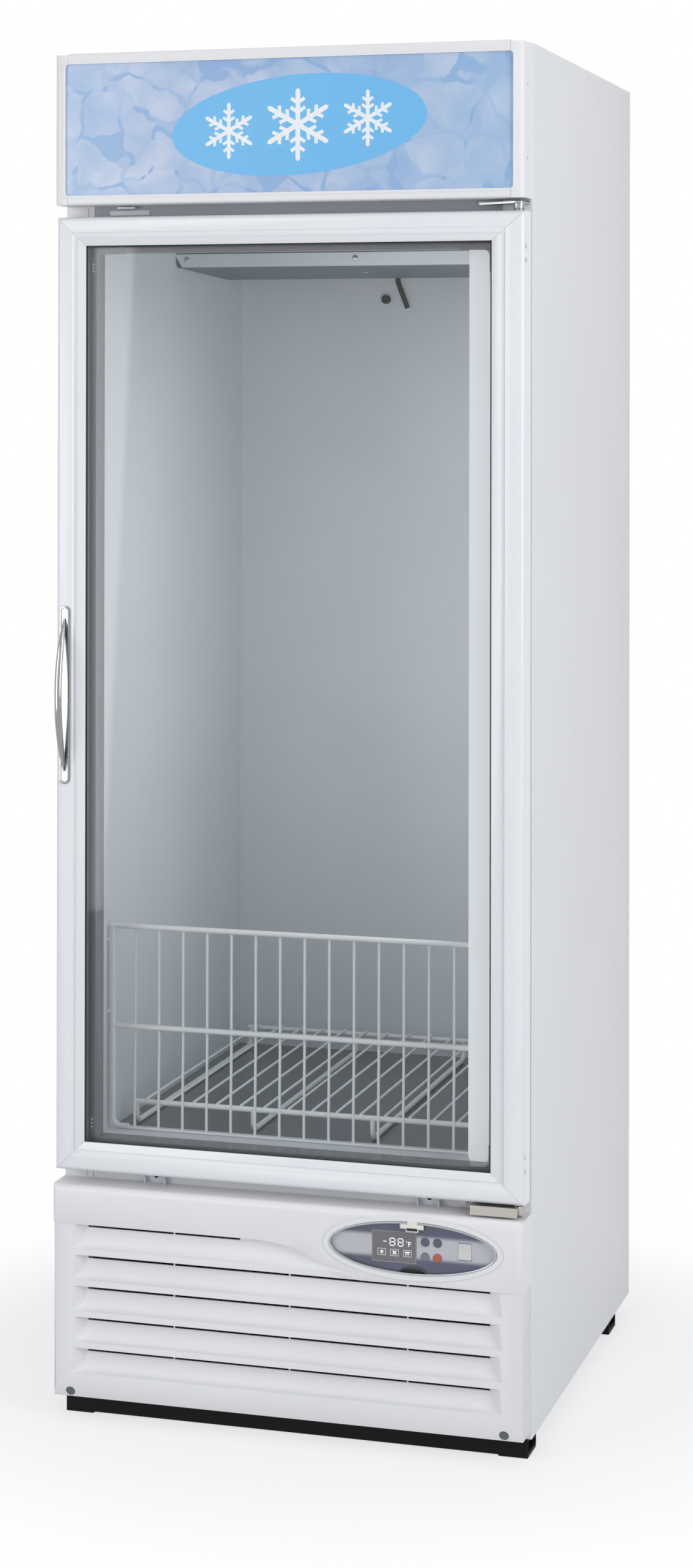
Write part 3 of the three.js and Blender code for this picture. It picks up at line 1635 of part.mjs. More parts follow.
const floorRack = () => {
  const deck = floorTop + seat + rackHeight;
  const floor = floorTop + seat + rackRod;
  const front = roundBar("X", [rackFront, deck], rackRod, -rackHalfWidth, rackHalfWidth, 8);
  const rear = roundBar("X", [rackRear, deck], rackRod, -rackHalfWidth, rackHalfWidth, 8);
  const wires = Array.from({ length: rackWires }, (_, i) => {
    const x = (i - (rackWires - 1) / 2) * rackPitch;
    return roundBar("Y", [x, deck + rackRod + rackWire - 1.2], rackWire, rackFront - 2, rackRear + 2, 6);
  });
  const runners = Array.from({ length: rackRunners }, (_, i) => {
    const x = (i - (rackRunners - 1) / 2) * rackRunnerPitch;
    return joined(
      roundBar("Z", [x, rackFront], rackRod, floor - rackRod, deck, 8),
      roundBar("Y", [x, floor], rackRod, rackFront, rackRear, 8),
      roundBar("Z", [x, rackRear], rackRod, floor - rackRod, deck, 8),
    );
  });
  return joined(front, rear, ...wires, ...runners);
};

// ---------- machine room ----------

const panTop = bodyBottom + seat + panSheet;

const condenserCoil = () =>
  finnedCoil(
    condenserHalfWidth,
    condenserSetback,
    condenserSetback + condenserDepth,
    panTop + seat,
    panTop + seat + condenserHeight,
    condenserFins,
    condenserDepth / 4,
  );

const shroudFront = condenserSetback + condenserDepth + seat;
const condenserFanZ = panTop + seat + condenserHeight / 2;
const condenserFanY = shroudFront + shroudDepth - fanHubLength / 4;

// A sheet-metal box behind the coil with a round mouth, and the motor on a cross arm behind it.
const condenserFanShroud = () => {
  const half = condenserHalfWidth;
  const low = panTop + seat;
  const high = low + condenserHeight;
  const rear = shroudFront + shroudDepth;
  const outer = box(-half, half, shroudFront, rear, low, high);
  const hollow = box(-half + shroudWall, half - shroudWall, shroudFront - 1, rear - shroudWall, low + shroudWall, high - shroudWall);
  const mouth = roundBar(
    "Y",
    [condenserFanX, condenserFanZ],
    condenserFanRadius + fanHoleGap,
    rear - shroudWall - 1,
    rear + 1,
    30,
  );
  const motorFront = condenserFanY + fanHubLength / 2 + seat;
  const motor = roundBar(
    "Y",
    [condenserFanX, condenserFanZ],
    motorRadius,
    motorFront,
    motorFront + motorLength,
    18,
  );
  const armY = motorFront + motorLength / 2;
  const arm = box(-half + 10, half - 10, armY, armY + 4, condenserFanZ - 12, condenserFanZ + 12);
  const legs = [-1, 1].map((side) => {
    const outerX = side * (half - 10);
    const innerX = side * (half - 14);
    return box(
      Math.min(outerX, innerX),
      Math.max(outerX, innerX),
      rear - shroudWall / 2,
      armY + 4,
      condenserFanZ - 12,
      condenserFanZ + 12,
    );
  });
  return joined(cutBy(outer, hollow, mouth), motor, arm, ...legs);
};

const condenserFan = () =>
  axialFan(condenserFanX, condenserFanY, condenserFanZ, condenserFanRadius, fanHubRadius + 4);

const compressor = () => {
  const base = panTop + seat;
  const r = compressorRadius;
  const can = [
    [0, 8],
    [r * 0.82, 8],
    [r * 0.96, 20],
    [r, compressorHeight * 0.5],
    [r * 1.03, compressorHeight * 0.5],
    [r * 1.03, compressorHeight * 0.5 + 5],
    [r, compressorHeight * 0.5 + 5],
    [r, compressorHeight * 0.78],
    [r * 0.9, compressorHeight * 0.91],
    [r * 0.6, compressorHeight * 0.98],
    [0, compressorHeight],
  ].map(([radius, z]) => new THREE.Vector2(radius, z));
  const body = solid(
    new THREE.LatheGeometry(can, 20).rotateX(Math.PI / 2).translate(compressorX, compressorY, base),
  );
  const foot = prismZ(
    roundedRectangle(
      compressorX - compressorFoot,
      compressorX + compressorFoot,
      compressorY - compressorRadius,
      compressorY + compressorRadius,
      14,
    ),
    base,
    base + compressorFootHeight,
    4,
  );
  const pipes = [
    [compressorRadius * 0.75, 60],
    [compressorRadius * 0.55, 90],
  ].map(([offset, rise]) =>
    bentRod(
      [
        [compressorX + offset, compressorY - compressorRadius * 0.5, base + compressorHeight * 0.6],
        [compressorX + offset + 30, compressorY - compressorRadius, base + compressorHeight * 0.6],
        [compressorX + offset + 40, compressorY - compressorRadius - 20, base + compressorHeight * 0.6 + rise],
      ],
      5,
      6,
      5,
    ),
  );
  return joined(body, foot, ...pipes);
};

// The rear cover of the machine room, with two columns of pressed louvres.
const rearServiceCover = () => {
  const bottom = bodyBottom + seat + panLip + seat;
  const top = partition - sheet;
  const skin = box(-insideSkin, insideSkin, rearSkinFront, rearSkinFront + sheet, bodyBottom, top);
  const hoods = [];
  const slots = [];
  for (const side of [-1, 1])
    for (let i = 0; i < rearCoverLouvres; i += 1) {
      const x = (side * (rearLouvreLength + 40)) / 2;
      const z = (bottom + top) / 2 + (i - (rearCoverLouvres - 1) / 2) * rearLouvrePitch;
      const y = rearSkinFront + sheet;
      const hood = outline([
        [y - sheet / 2, z + 6],
        [y - sheet / 2, z - 6],
        [y + 1, z - 6],
        [y + 1, z - 4],
      ]);
      hoods.push(prismX(hood, x - rearLouvreLength / 2, x + rearLouvreLength / 2));
      slots.push(
        box(
          x - rearLouvreLength / 2 + 2,
          x + rearLouvreLength / 2 - 2,
          rearSkinFront - 1,
          rearSkinFront + sheet + 0.2,
          z - 7,
          z - 1,
        ),
      );
    }
  return cutBy(joined(skin, ...hoods), ...slots);
};

// ---------- assembly ----------

place("left_side_panel", sidePanel(-1), painted);
place("right_side_panel", sidePanel(1), painted);
place("roof_panel", roofPanel(), painted);
place("rear_panel", rearPanel(), painted);
place("upper_face_panel", upperFacePanel(), painted);
place("compartment_ceiling", compartmentCeiling(), painted);
place("foam_insulation", foamInsulation(), foam);
place("breaker_frame", breakerFrame(), whitePlastic);
place("liner_left_wall", linerSideWall(-1), linerMetal);
place("liner_right_wall", linerSideWall(1), linerMetal);
place("liner_rear_wall", linerRearWall(), linerMetal);
place("liner_ceiling", linerCeiling(), linerMetal);
place("liner_floor", linerFloor(), steel);
place("threshold_sill", thresholdSill(), whitePlastic);
place("base_pan", basePan(), steel);
place("front_base_rail", baseRail(-frontRailProud, frontRailDepth), blackPaint);
place("rear_base_rail", baseRail(cabinetDepth - rearRailSetback - rearRailDepth, rearRailDepth), blackPaint);
place("header_top_rail", headerRail(true), whitePlastic);
place("header_bottom_rail", headerRail(false), whitePlastic);
place("header_end_cap_left", headerCap(-1), whitePlastic);
place("header_end_cap_right", headerCap(1), whitePlastic);
place("sign_panel", signPanel(), signFilm);
place("sign_lamp", signLamp(), whitePlastic);
place("lower_grille_panel", lowerGrillePanel(), whitePlastic);
place("control_bezel", controlBezel(), aluminium);
place("control_fascia", controlFascia(), fasciaFilm);
place("display_module", displayModule(), blackPlastic);
place("control_cover", controlCover(), smoked);
for (const [name, x, z, material] of buttonPlaces) place(name, button(x, z), material);
place("rocker_switch", rockerSwitch(), whitePlastic);
place("door_stile_handle_side", doorStile(-1), whiteAluminium);
place("door_stile_hinge_side", doorStile(1), whiteAluminium);
place("door_rail_top", doorRail(1), whiteAluminium);
place("door_rail_bottom", doorRail(-1), whiteAluminium);
place("outer_glass", pane(outerPaneFront), glass);
place("inner_glass", pane(innerPaneFront), glass);
place("glass_spacer", glassSpacer(), aluminium);
place("door_inner_frame", doorInnerFrame(), greyPlastic);
place("door_gasket", doorGasket(), rubber);
place("door_handle", doorHandle(), chrome);
place("top_hinge_bracket", upperHingeBracket(), nickel);
place("bottom_hinge_bracket", lowerHingeBracket(), nickel);
place("top_hinge_pin", hingePin(true), steel);
place("bottom_hinge_pin", hingePin(false), steel);
place("evaporator_cover", evaporatorCover(), linerMetal);
place("evaporator_coil", evaporatorCoil(), aluminium);
place("evaporator_fan", evaporatorFan(), blackPlastic);
place("evaporator_fan_motor", evaporatorFanMotor(), blackPlastic);
place("interior_lamp", interiorLamp(), whitePlastic);
place("wire_guard", wireGuard(), coatedWire);
place("floor_rack", floorRack(), coatedWire);
place("condenser_coil", condenserCoil(), aluminium);
place("condenser_fan_shroud", condenserFanShroud(), steel);
place("condenser_fan", condenserFan(), blackPlastic);
place("compressor", compressor(), blackPaint);
place("rear_service_cover", rearServiceCover(), painted);

const freezer = new THREE.Group();
machine.position.y = (handleProjection - doorFront - cabinetDepth) / 2;
freezer.add(machine);

export default freezer;
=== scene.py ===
"""Looks of a one-door ice merchandiser freezer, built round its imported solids.

Lengths are in millimetres in the cabinet's own frame: X to the right, Y to the rear from the cabinet's
front plane, Z up from the floor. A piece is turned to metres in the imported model's frame when it is added.
"""

import logging
import math
from dataclasses import dataclass, field
from enum import Enum
from typing import Any, Sequence

import bmesh
import bpy
from mathutils import Matrix, Vector


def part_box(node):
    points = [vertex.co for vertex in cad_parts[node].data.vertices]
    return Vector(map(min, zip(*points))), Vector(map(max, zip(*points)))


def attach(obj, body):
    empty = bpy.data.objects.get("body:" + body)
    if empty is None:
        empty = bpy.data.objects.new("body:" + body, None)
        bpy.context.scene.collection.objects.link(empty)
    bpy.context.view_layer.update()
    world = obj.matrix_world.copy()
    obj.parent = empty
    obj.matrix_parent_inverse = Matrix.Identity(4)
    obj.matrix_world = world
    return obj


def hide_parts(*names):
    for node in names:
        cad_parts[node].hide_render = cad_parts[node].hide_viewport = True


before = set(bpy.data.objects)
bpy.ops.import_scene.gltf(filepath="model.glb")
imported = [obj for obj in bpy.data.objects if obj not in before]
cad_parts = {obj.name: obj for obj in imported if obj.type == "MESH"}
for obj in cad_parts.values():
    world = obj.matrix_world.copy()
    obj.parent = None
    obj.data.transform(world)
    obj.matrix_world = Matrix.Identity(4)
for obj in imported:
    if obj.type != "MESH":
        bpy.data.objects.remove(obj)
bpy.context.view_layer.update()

logging.basicConfig(level=logging.INFO, format="%(message)s")
log = logging.getLogger("freezer")

MM = 0.001
FACE_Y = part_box("left_side_panel")[0].y / MM
TO_ROW = Matrix.Translation((0.0, FACE_Y * MM, 0.0)) @ Matrix.Scale(MM, 4)
ACROSS = Vector((1.0, 0.0, 0.0))
FRONTWARD = Vector((0.0, -1.0, 0.0))
DOWNWARD = Vector((0.0, 0.0, -1.0))
MERGE_MM = 1e-4
STRAIGHT = 1e-4
BEVEL_STEPS = 2
SMOOTH_BELOW = math.radians(38)

Point = Sequence[float]
Corners = tuple[Point, Point]
Profile = Sequence[tuple[float, float]]


class Side(Enum):
    """The side of the cabinet as seen from the front."""

    LEFT = -1
    RIGHT = 1


# ---------- materials ----------


def linear(code: str) -> tuple[float, float, float, float]:
    """Turns an sRGB hex colour to linear light.

    Args:
        code: The colour, such as "#e4e5e8".

    Returns:
        Red, green, blue and a full alpha.
    """
    parts = [int(code[i : i + 2], 16) / 255 for i in (1, 3, 5)]
    bent = [c / 12.92 if c <= 0.04045 else ((c + 0.055) / 1.055) ** 2.4 for c in parts]
    return bent[0], bent[1], bent[2], 1.0


def add_node(
    tree: bpy.types.NodeTree,
    kind: str,
    settings: dict[str, Any] | None = None,
    inputs: dict[str | int, Any] | None = None,
) -> bpy.types.Node:
    """Adds a node to a tree, with its settings and links.

    Args:
        tree: The tree that takes the node.
        kind: The node's type name without its "ShaderNode" head.
        settings: Its properties; "stops" fills a colour ramp with (place, colour) pairs.
        inputs: Its sockets by name or number, each a value or the socket that feeds it.

    Returns:
        The new node.
    """
    node = tree.nodes.new("ShaderNode" + kind)
    for name, value in (settings or {}).items():
        if name != "stops":
            setattr(node, name, value)
            continue
        ramp = node.color_ramp.elements
        while len(ramp) < len(value):
            ramp.new(0.5)
        for element, (place, colour) in zip(ramp, value):
            element.position = place
            element.color = colour
    for name, value in (inputs or {}).items():
        socket = node.inputs[name]
        if isinstance(value, bpy.types.NodeSocket):
            tree.links.new(value, socket)
        else:
            socket.default_value = value
    return node


def grey(value: float) -> tuple[float, float, float, float]:
    """Returns a linear grey of one level."""
    return value, value, value, 1.0


def per_metre(size_mm: float) -> float:
    """Returns how many marks of a size lie along a metre, which is the scale of a texture."""
    return 1000 / size_mm


@dataclass(frozen=True)
class Finish:
    """A surface as it is made: its colour, gloss, and the small relief that the eye reads as its process."""

    name: str
    colour: str
    drift_to: str
    roughness: float
    metallic: float = 0.0
    ior: float = 1.5
    coat: float = 0.0
    drift_mm: float = 260.0
    grain_mm: float = 2.0
    grain_height_mm: float = 0.02
    gloss_spread: float = 0.05
    stretch: tuple[float, float, float] = (1.0, 1.0, 1.0)

    def start(self) -> tuple[bpy.types.Material, bpy.types.NodeTree, bpy.types.Node]:
        """Makes the empty material.

        Returns:
            The material, its tree and its output node.
        """
        material = bpy.data.materials.new(self.name)
        material.use_nodes = True
        tree = material.node_tree
        tree.nodes.clear()
        return material, tree, add_node(tree, "OutputMaterial")

    def places(self, tree: bpy.types.NodeTree) -> bpy.types.NodeSocket:
        """Finds the point on the piece, stretched along the way that the surface was worked.

        Args:
            tree: The material's tree.

        Returns:
            The point in metres.
        """
        spot = add_node(tree, "TexCoord").outputs["Object"]
        return add_node(
            tree, "Mapping", {"vector_type": "POINT"}, {"Vector": spot, "Scale": self.stretch}
        ).outputs["Vector"]

    def colour_socket(self, tree: bpy.types.NodeTree, where: bpy.types.NodeSocket) -> bpy.types.NodeSocket:
        """Lets the colour drift a little over the piece, as a real batch does.

        Args:
            tree: The material's tree.
            where: The point on the piece.

        Returns:
            The colour.
        """
        cloud = add_node(
            tree, "TexNoise", None, {"Vector": where, "Scale": per_metre(self.drift_mm), "Detail": 3.0}
        )
        return add_node(
            tree,
            "ValToRGB",
            {"stops": [(0.3, linear(self.colour)), (0.7, linear(self.drift_to))]},
            {"Fac": cloud.outputs["Fac"]},
        ).outputs["Color"]

    def relief(self, tree: bpy.types.NodeTree, where: bpy.types.NodeSocket) -> bpy.types.NodeSocket:
        """Draws the fine relief.

        Args:
            tree: The material's tree.
            where: The point on the piece.

        Returns:
            Its height, from 0 to 1.
        """
        return add_node(
            tree, "TexNoise", None, {"Vector": where, "Scale": per_metre(self.grain_mm), "Detail": 2.0}
        ).outputs["Fac"]

    def make(self) -> bpy.types.Material:
        """Makes the material: a drifting colour, and a gloss and bump that follow the relief.

        Returns:
            The finished material.
        """
        material, tree, output = self.start()
        where = self.places(tree)
        height = self.relief(tree, where)
        gloss = add_node(
            tree,
            "MapRange",
            None,
            {
                "Value": height,
                "To Min": max(0.02, self.roughness - self.gloss_spread),
                "To Max": min(1.0, self.roughness + self.gloss_spread),
            },
        )
        bump = add_node(
            tree, "Bump", None, {"Strength": 0.6, "Distance": self.grain_height_mm * MM, "Height": height}
        )
        shader = add_node(
            tree,
            "BsdfPrincipled",
            None,
            {
                "Base Color": self.colour_socket(tree, where),
                "Metallic": self.metallic,
                "Roughness": gloss.outputs["Result"],
                "IOR": self.ior,
                "Coat Weight": self.coat,
                "Coat Roughness": 0.08,
                "Normal": bump.outputs["Normal"],
            },
        )
        tree.links.new(shader.outputs["BSDF"], output.inputs["Surface"])
        return material


@dataclass(frozen=True)
class Spangle(Finish):
    """Hot-dip galvanised sheet: flat zinc crystals that catch the light apart from each other."""

    spangle_mm: float = 9.0

    def relief(self, tree: bpy.types.NodeTree, where: bpy.types.NodeSocket) -> bpy.types.NodeSocket:
        """Parts the sheet into crystals.

        Args:
            tree: The material's tree.
            where: The point on the piece.

        Returns:
            The tone of each crystal, from 0 to 1.
        """
        cells = add_node(tree, "TexVoronoi", None, {"Vector": where, "Scale": per_metre(self.spangle_mm)})
        return add_node(
            tree, "MapRange", None, {"Value": cells.outputs["Color"], "To Min": 0.0, "To Max": 1.0}
        ).outputs["Result"]


@dataclass(frozen=True)
class ClearSheet(Finish):
    """A flat clear sheet that lets light through straight, with a faint tint and a gloss at low angles."""

    gloss_share: float = 0.5
    milk: float = 0.0

    def make(self) -> bpy.types.Material:
        """Makes the material: straight see-through light, with a gloss that grows at low angles.

        Returns:
            The finished material.
        """
        material, tree, output = self.start()
        where = self.places(tree)
        height = self.relief(tree, where)
        bump = add_node(
            tree, "Bump", None, {"Strength": 0.2, "Distance": self.grain_height_mm * MM, "Height": height}
        )
        through = add_node(tree, "BsdfTransparent", None, {"Color": self.colour_socket(tree, where)})
        shine = add_node(
            tree,
            "BsdfGlossy",
            None,
            {"Color": grey(1.0), "Roughness": self.roughness, "Normal": bump.outputs["Normal"]},
        )
        angle = add_node(tree, "Fresnel", None, {"IOR": self.ior})
        share = add_node(
            tree, "Math", {"operation": "MULTIPLY"}, {0: angle.outputs["Fac"], 1: self.gloss_share}
        )
        sheet = add_node(
            tree,
            "MixShader",
            None,
            {0: share.outputs["Value"], 1: through.outputs["BSDF"], 2: shine.outputs["BSDF"]},
        )
        if self.milk:
            haze = add_node(tree, "BsdfDiffuse", None, {"Color": linear(self.drift_to)})
            sheet = add_node(
                tree, "MixShader", None, {0: self.milk, 1: sheet.outputs[0], 2: haze.outputs["BSDF"]}
            )
        tree.links.new(sheet.outputs[0], output.inputs["Surface"])
        return material


@dataclass(frozen=True)
class IceChipFilm(Finish):
    """Back-lit print of loose ice: pale rounded chips heaped over a blue ground, under a clear face."""

    chip_mm: float = 88.0
    chip_rim: tuple[float, float] = (0.035, 0.06)
    bare_share: float = 0.22
    layers: tuple[tuple[float, float, float], ...] = ((1.0, 0.0, 0.72), (0.8, 0.37, 0.85))
    bend_mm: float = 48.0
    bend_push: float = 0.05
    flatten: tuple[float, float, float] = (1.0, 0.0, 1.15)
    cloud_mm: float = 60.0
    cloud_top: str = "#c9d2e5"
    ground: str = "#88aad7"
    ground_light: str = "#97b7dd"
    cyan: str = "#8fb9de"
    cyan_share: float = 0.35
    cyan_from_m: float = 0.33

    def chips(
        self, tree: bpy.types.NodeTree, where: bpy.types.NodeSocket, size_mm: float, shift: float
    ) -> tuple[bpy.types.NodeSocket, bpy.types.NodeSocket]:
        """Makes one layer of chips.

        Args:
            tree: The material's tree.
            where: The bent point on the sign.
            size_mm: The size of a chip.
            shift: How far the layer is moved from the others, in metres.

        Returns:
            Where the chips are, from 0 to 1, and the tone of each.
        """
        moved = add_node(
            tree, "VectorMath", {"operation": "ADD"}, {0: where, 1: (shift, 0.0, shift * 0.7)}
        ).outputs["Vector"]
        spots = {"Vector": moved, "Scale": per_metre(size_mm)}
        cell = add_node(tree, "TexVoronoi", None, spots)
        edge = add_node(tree, "TexVoronoi", {"feature": "DISTANCE_TO_EDGE"}, spots)
        tone = add_node(tree, "SeparateColor", None, {"Color": cell.outputs["Color"]})
        thin, full = self.chip_rim
        body = add_node(
            tree,
            "MapRange",
            {"interpolation_type": "SMOOTHSTEP"},
            {"Value": edge.outputs["Distance"], "From Min": thin, "From Max": full},
        )
        kept = add_node(
            tree, "Math", {"operation": "GREATER_THAN"}, {0: tone.outputs["Red"], 1: self.bare_share}
        )
        mask = add_node(tree, "Math", {"operation": "MULTIPLY"}, {0: body.outputs[0], 1: kept.outputs[0]})
        return mask.outputs[0], tone.outputs["Green"]

    def colour_socket(self, tree: bpy.types.NodeTree, where: bpy.types.NodeSocket) -> bpy.types.NodeSocket:
        """Prints two layers of chips over the ground, each clouded inside, bluer to the right.

        Args:
            tree: The material's tree.
            where: The point on the sign.

        Returns:
            The colour of the print.
        """
        bend = add_node(
            tree, "TexNoise", None, {"Vector": where, "Scale": per_metre(self.bend_mm), "Detail": 2.5}
        )
        push = add_node(
            tree,
            "VectorMath",
            {"operation": "MULTIPLY_ADD"},
            {0: bend.outputs["Color"], 1: (self.bend_push,) * 3, 2: where},
        )
        flat = add_node(
            tree, "VectorMath", {"operation": "MULTIPLY"}, {0: push.outputs["Vector"], 1: self.flatten}
        ).outputs["Vector"]
        cloud = add_node(
            tree, "TexNoise", None, {"Vector": flat, "Scale": per_metre(self.cloud_mm), "Detail": 4.0}
        )
        shade = add_node(
            tree,
            "ValToRGB",
            {
                "stops": [
                    (0.28, linear(self.colour)),
                    (0.48, linear(self.drift_to)),
                    (0.68, linear(self.cloud_top)),
                ]
            },
            {"Fac": cloud.outputs["Fac"]},
        ).outputs["Color"]
        print_colour = add_node(
            tree,
            "Mix",
            {"data_type": "RGBA"},
            {0: cloud.outputs["Fac"], 6: linear(self.ground), 7: linear(self.ground_light)},
        ).outputs[2]
        for size, shift, strength in self.layers:
            mask, tone = self.chips(tree, flat, self.chip_mm * size, shift)
            toned = add_node(
                tree, "MapRange", None, {"Value": tone, "To Min": strength - 0.3, "To Max": strength + 0.12}
            )
            share = add_node(tree, "Math", {"operation": "MULTIPLY"}, {0: mask, 1: toned.outputs[0]})
            print_colour = add_node(
                tree, "Mix", {"data_type": "RGBA"}, {0: share.outputs[0], 6: print_colour, 7: shade}
            ).outputs[2]
        parts = add_node(tree, "SeparateXYZ", None, {"Vector": where})
        cyan = add_node(
            tree,
            "MapRange",
            None,
            {
                "Value": parts.outputs["X"],
                "From Min": 0.0,
                "From Max": self.cyan_from_m,
                "To Min": 0.0,
                "To Max": self.cyan_share,
            },
        )
        return add_node(
            tree,
            "Mix",
            {"data_type": "RGBA"},
            {0: cyan.outputs[0], 6: print_colour, 7: linear(self.cyan)},
        ).outputs[2]


@dataclass(frozen=True)
class BandedFilm(Finish):
    """Printed control film: navy with a soft silver band that runs across it."""

    band: str = "#d2d3d4"
    middle_mm: float = 289.5
    reach_mm: float = 14.0
    fade_out_mm: float = 5.0
    fade_in_mm: float = 3.0

    def colour_socket(self, tree: bpy.types.NodeTree, where: bpy.types.NodeSocket) -> bpy.types.NodeSocket:
        """Lays the silver band over the navy, faded at its upper and lower edge.

        Args:
            tree: The material's tree.
            where: The point on the film.

        Returns:
            The colour of the film.
        """
        parts = add_node(tree, "SeparateXYZ", None, {"Vector": where})
        above = add_node(
            tree,
            "MapRange",
            {"interpolation_type": "SMOOTHSTEP"},
            {
                "Value": parts.outputs["Z"],
                "From Min": (self.middle_mm - self.reach_mm - self.fade_out_mm) * MM,
                "From Max": (self.middle_mm - self.reach_mm + self.fade_in_mm) * MM,
            },
        )
        below = add_node(
            tree,
            "MapRange",
            {"interpolation_type": "SMOOTHSTEP"},
            {
                "Value": parts.outputs["Z"],
                "From Min": (self.middle_mm + self.reach_mm - self.fade_in_mm) * MM,
                "From Max": (self.middle_mm + self.reach_mm + self.fade_out_mm) * MM,
                "To Min": 1.0,
                "To Max": 0.0,
            },
        )
        share = add_node(
            tree, "Math", {"operation": "MULTIPLY"}, {0: above.outputs[0], 1: below.outputs[0]}
        )
        return add_node(
            tree,
            "Mix",
            {"data_type": "RGBA"},
            {0: share.outputs[0], 6: linear(self.colour), 7: linear(self.band)},
        ).outputs[2]


@dataclass(frozen=True)
class Glowing(Finish):
    """A lit surface: opal plastic over a lamp, or the bars of a lit digit."""

    glow: float = 1.0

    def make(self) -> bpy.types.Material:
        """Makes the plain material and lets it glow.

        Returns:
            The finished material.
        """
        material = super().make()
        shader = next(n for n in material.node_tree.nodes if n.type == "BSDF_PRINCIPLED")
        shader.inputs["Emission Color"].default_value = linear(self.colour)
        shader.inputs["Emission Strength"].default_value = self.glow
        return material


class Finishes:
    """Every finish on the freezer, each made once."""

    # White polyester powder coat on steel: satin, with a faint orange peel.
    powder_coat = Finish(
        "white_powder_coat",
        "#e6e7ea",
        "#e3e4e8",
        0.36,
        gloss_spread=0.02,
        grain_mm=1.6,
        grain_height_mm=0.003,
    )
    # Face behind the canopy: duller and greyer than the outer skins, its grey being painted shade from the
    # canopy over it.
    face_grey_painted_shade = Finish(
        "grey_face_painted_shade", "#abadb5", "#a6a8b1", 0.45, grain_mm=1.6, grain_height_mm=0.006
    )
    # Black powder coat on the base rails: dull, a little coarser.
    black_coat = Finish(
        "black_powder_coat", "#0b0b0c", "#101011", 0.55, ior=1.25, grain_mm=1.2, grain_height_mm=0.02
    )
    # White moulded ABS of the header and the grille panel: soft gloss, almost no texture.
    moulded_abs = Finish(
        "white_moulded_abs",
        "#ececed",
        "#e9e9eb",
        0.38,
        gloss_spread=0.02,
        grain_mm=0.9,
        grain_height_mm=0.003,
    )
    # White painted aluminium section of the door: glossier and smoother than the powder coat.
    painted_section = Finish(
        "white_painted_aluminium",
        "#ebecef",
        "#e8e9ed",
        0.28,
        coat=0.2,
        gloss_spread=0.012,
        grain_mm=1.1,
        grain_height_mm=0.0008,
    )
    # Prepainted liner sheet: a cooler white with a soft sheen.
    liner_sheet = Finish(
        "white_liner_sheet", "#dde2e6", "#d7dde2", 0.4, gloss_spread=0.02, grain_mm=2.2, grain_height_mm=0.006
    )
    # Bare galvanised pan of the machine room: dull zinc crystals.
    galvanised = Spangle("galvanised_steel", "#9aa3ad", "#87919c", 0.38, metallic=0.85, grain_height_mm=0.01)
    # Floor of the compartment: steel, glossier than zinc, its colour darkened to paint the shade that lies
    # over the floor.
    floor_steel_painted_shade = Finish(
        "cold_rolled_steel_painted_shade",
        "#6b7278",
        "#5d646b",
        0.24,
        metallic=0.8,
        stretch=(0.2, 1.0, 1.0),
        grain_height_mm=0.004,
    )
    # Dark PVC profile behind the glass: glossy, so that its channel shows bright edges.
    dark_profile = Finish("dark_grey_pvc", "#87868b", "#7b7a80", 0.26, grain_mm=1.4, grain_height_mm=0.004)
    # White PVC of the breaker frame, the threshold and the clips: even and half dull.
    white_pvc = Finish("white_pvc", "#e2e4e8", "#dcdfe4", 0.35, grain_mm=1.4, grain_height_mm=0.01)
    # Mill-finish aluminium spacer between the panes, with the fine lines of rolling.
    spacer_metal = Finish(
        "rolled_aluminium_spacer",
        "#9aa3a3",
        "#8f9999",
        0.34,
        metallic=0.7,
        stretch=(8.0, 8.0, 0.4),
        grain_mm=6.0,
    )
    # Satin chrome of the control panel's bezel: soft reflections.
    satin_chrome = Finish(
        "satin_chrome_plate", "#b4b7bc", "#aeb1b7", 0.16, metallic=1.0, grain_height_mm=0.002
    )
    # Chrome plate on the cast handle: sharper, darker reflections.
    chrome = Finish(
        "chrome_plate", "#9b9da0", "#929497", 0.1, metallic=1.0, gloss_spread=0.02, grain_height_mm=0.002
    )
    # Satin nickel on the lower hinge: long fine streaks from brushing along its length.
    nickel = Finish(
        "brushed_nickel", "#c0bcb7", "#b4b0ab", 0.32, metallic=1.0, stretch=(0.06, 1.0, 1.0), grain_mm=0.8
    )
    # Turned steel of the pins and the top bracket: a fine even grain.
    steel = Finish("turned_steel", "#a6a8aa", "#9c9ea1", 0.3, metallic=1.0, grain_mm=0.8)
    # Clear float glass of the two panes: flat, with sharp faint reflections.
    glass = ClearSheet(
        "clear_float_glass", "#fefefe", "#feffff", 0.02, ior=1.45, gloss_share=0.3, grain_height_mm=0.0
    )
    # Lightly smoked acrylic flip cover: a faint milky haze.
    smoked = ClearSheet("smoked_acrylic", "#fefeff", "#fcfcfe", 0.1, ior=1.45, gloss_share=0.25, milk=0.025)
    # Soft grey PVC of the magnetic gasket: dull, with almost no reflections.
    gasket = Finish("grey_gasket_pvc", "#8b8d90", "#828487", 0.7, grain_mm=1.0, grain_height_mm=0.03)
    # Polyurethane foam: cream, dull, with open cells at the skin.
    foam = Finish("polyurethane_foam", "#e8d9a8", "#dcc98f", 0.95, grain_mm=3.0, grain_height_mm=0.6)
    # White polyethylene coat on drawn wire: rounded, slightly waxy.
    coated_wire = Finish("white_coated_wire", "#f2f3f5", "#eeeff1", 0.33, grain_mm=3.5, grain_height_mm=0.008)
    # Black moulded nylon of the fans and the display's housing: dull, with a fine grain.
    black_nylon = Finish("black_nylon", "#232427", "#2a2b2e", 0.5, grain_mm=0.8)
    # Finned evaporator coil: aluminium fins a few millimetres apart, drawn a little coarser to show.
    fins = Finish(
        "aluminium_fins", "#b9c0c0", "#a9b0b1", 0.36, metallic=0.85, stretch=(12.0, 1.0, 0.05), grain_mm=14.0
    )
    # Condenser fins in black coating: dull, in the same upright lines.
    black_fins = Finish(
        "black_coated_fins", "#222325", "#1c1d1f", 0.5, stretch=(12.0, 1.0, 0.05), grain_mm=14.0
    )
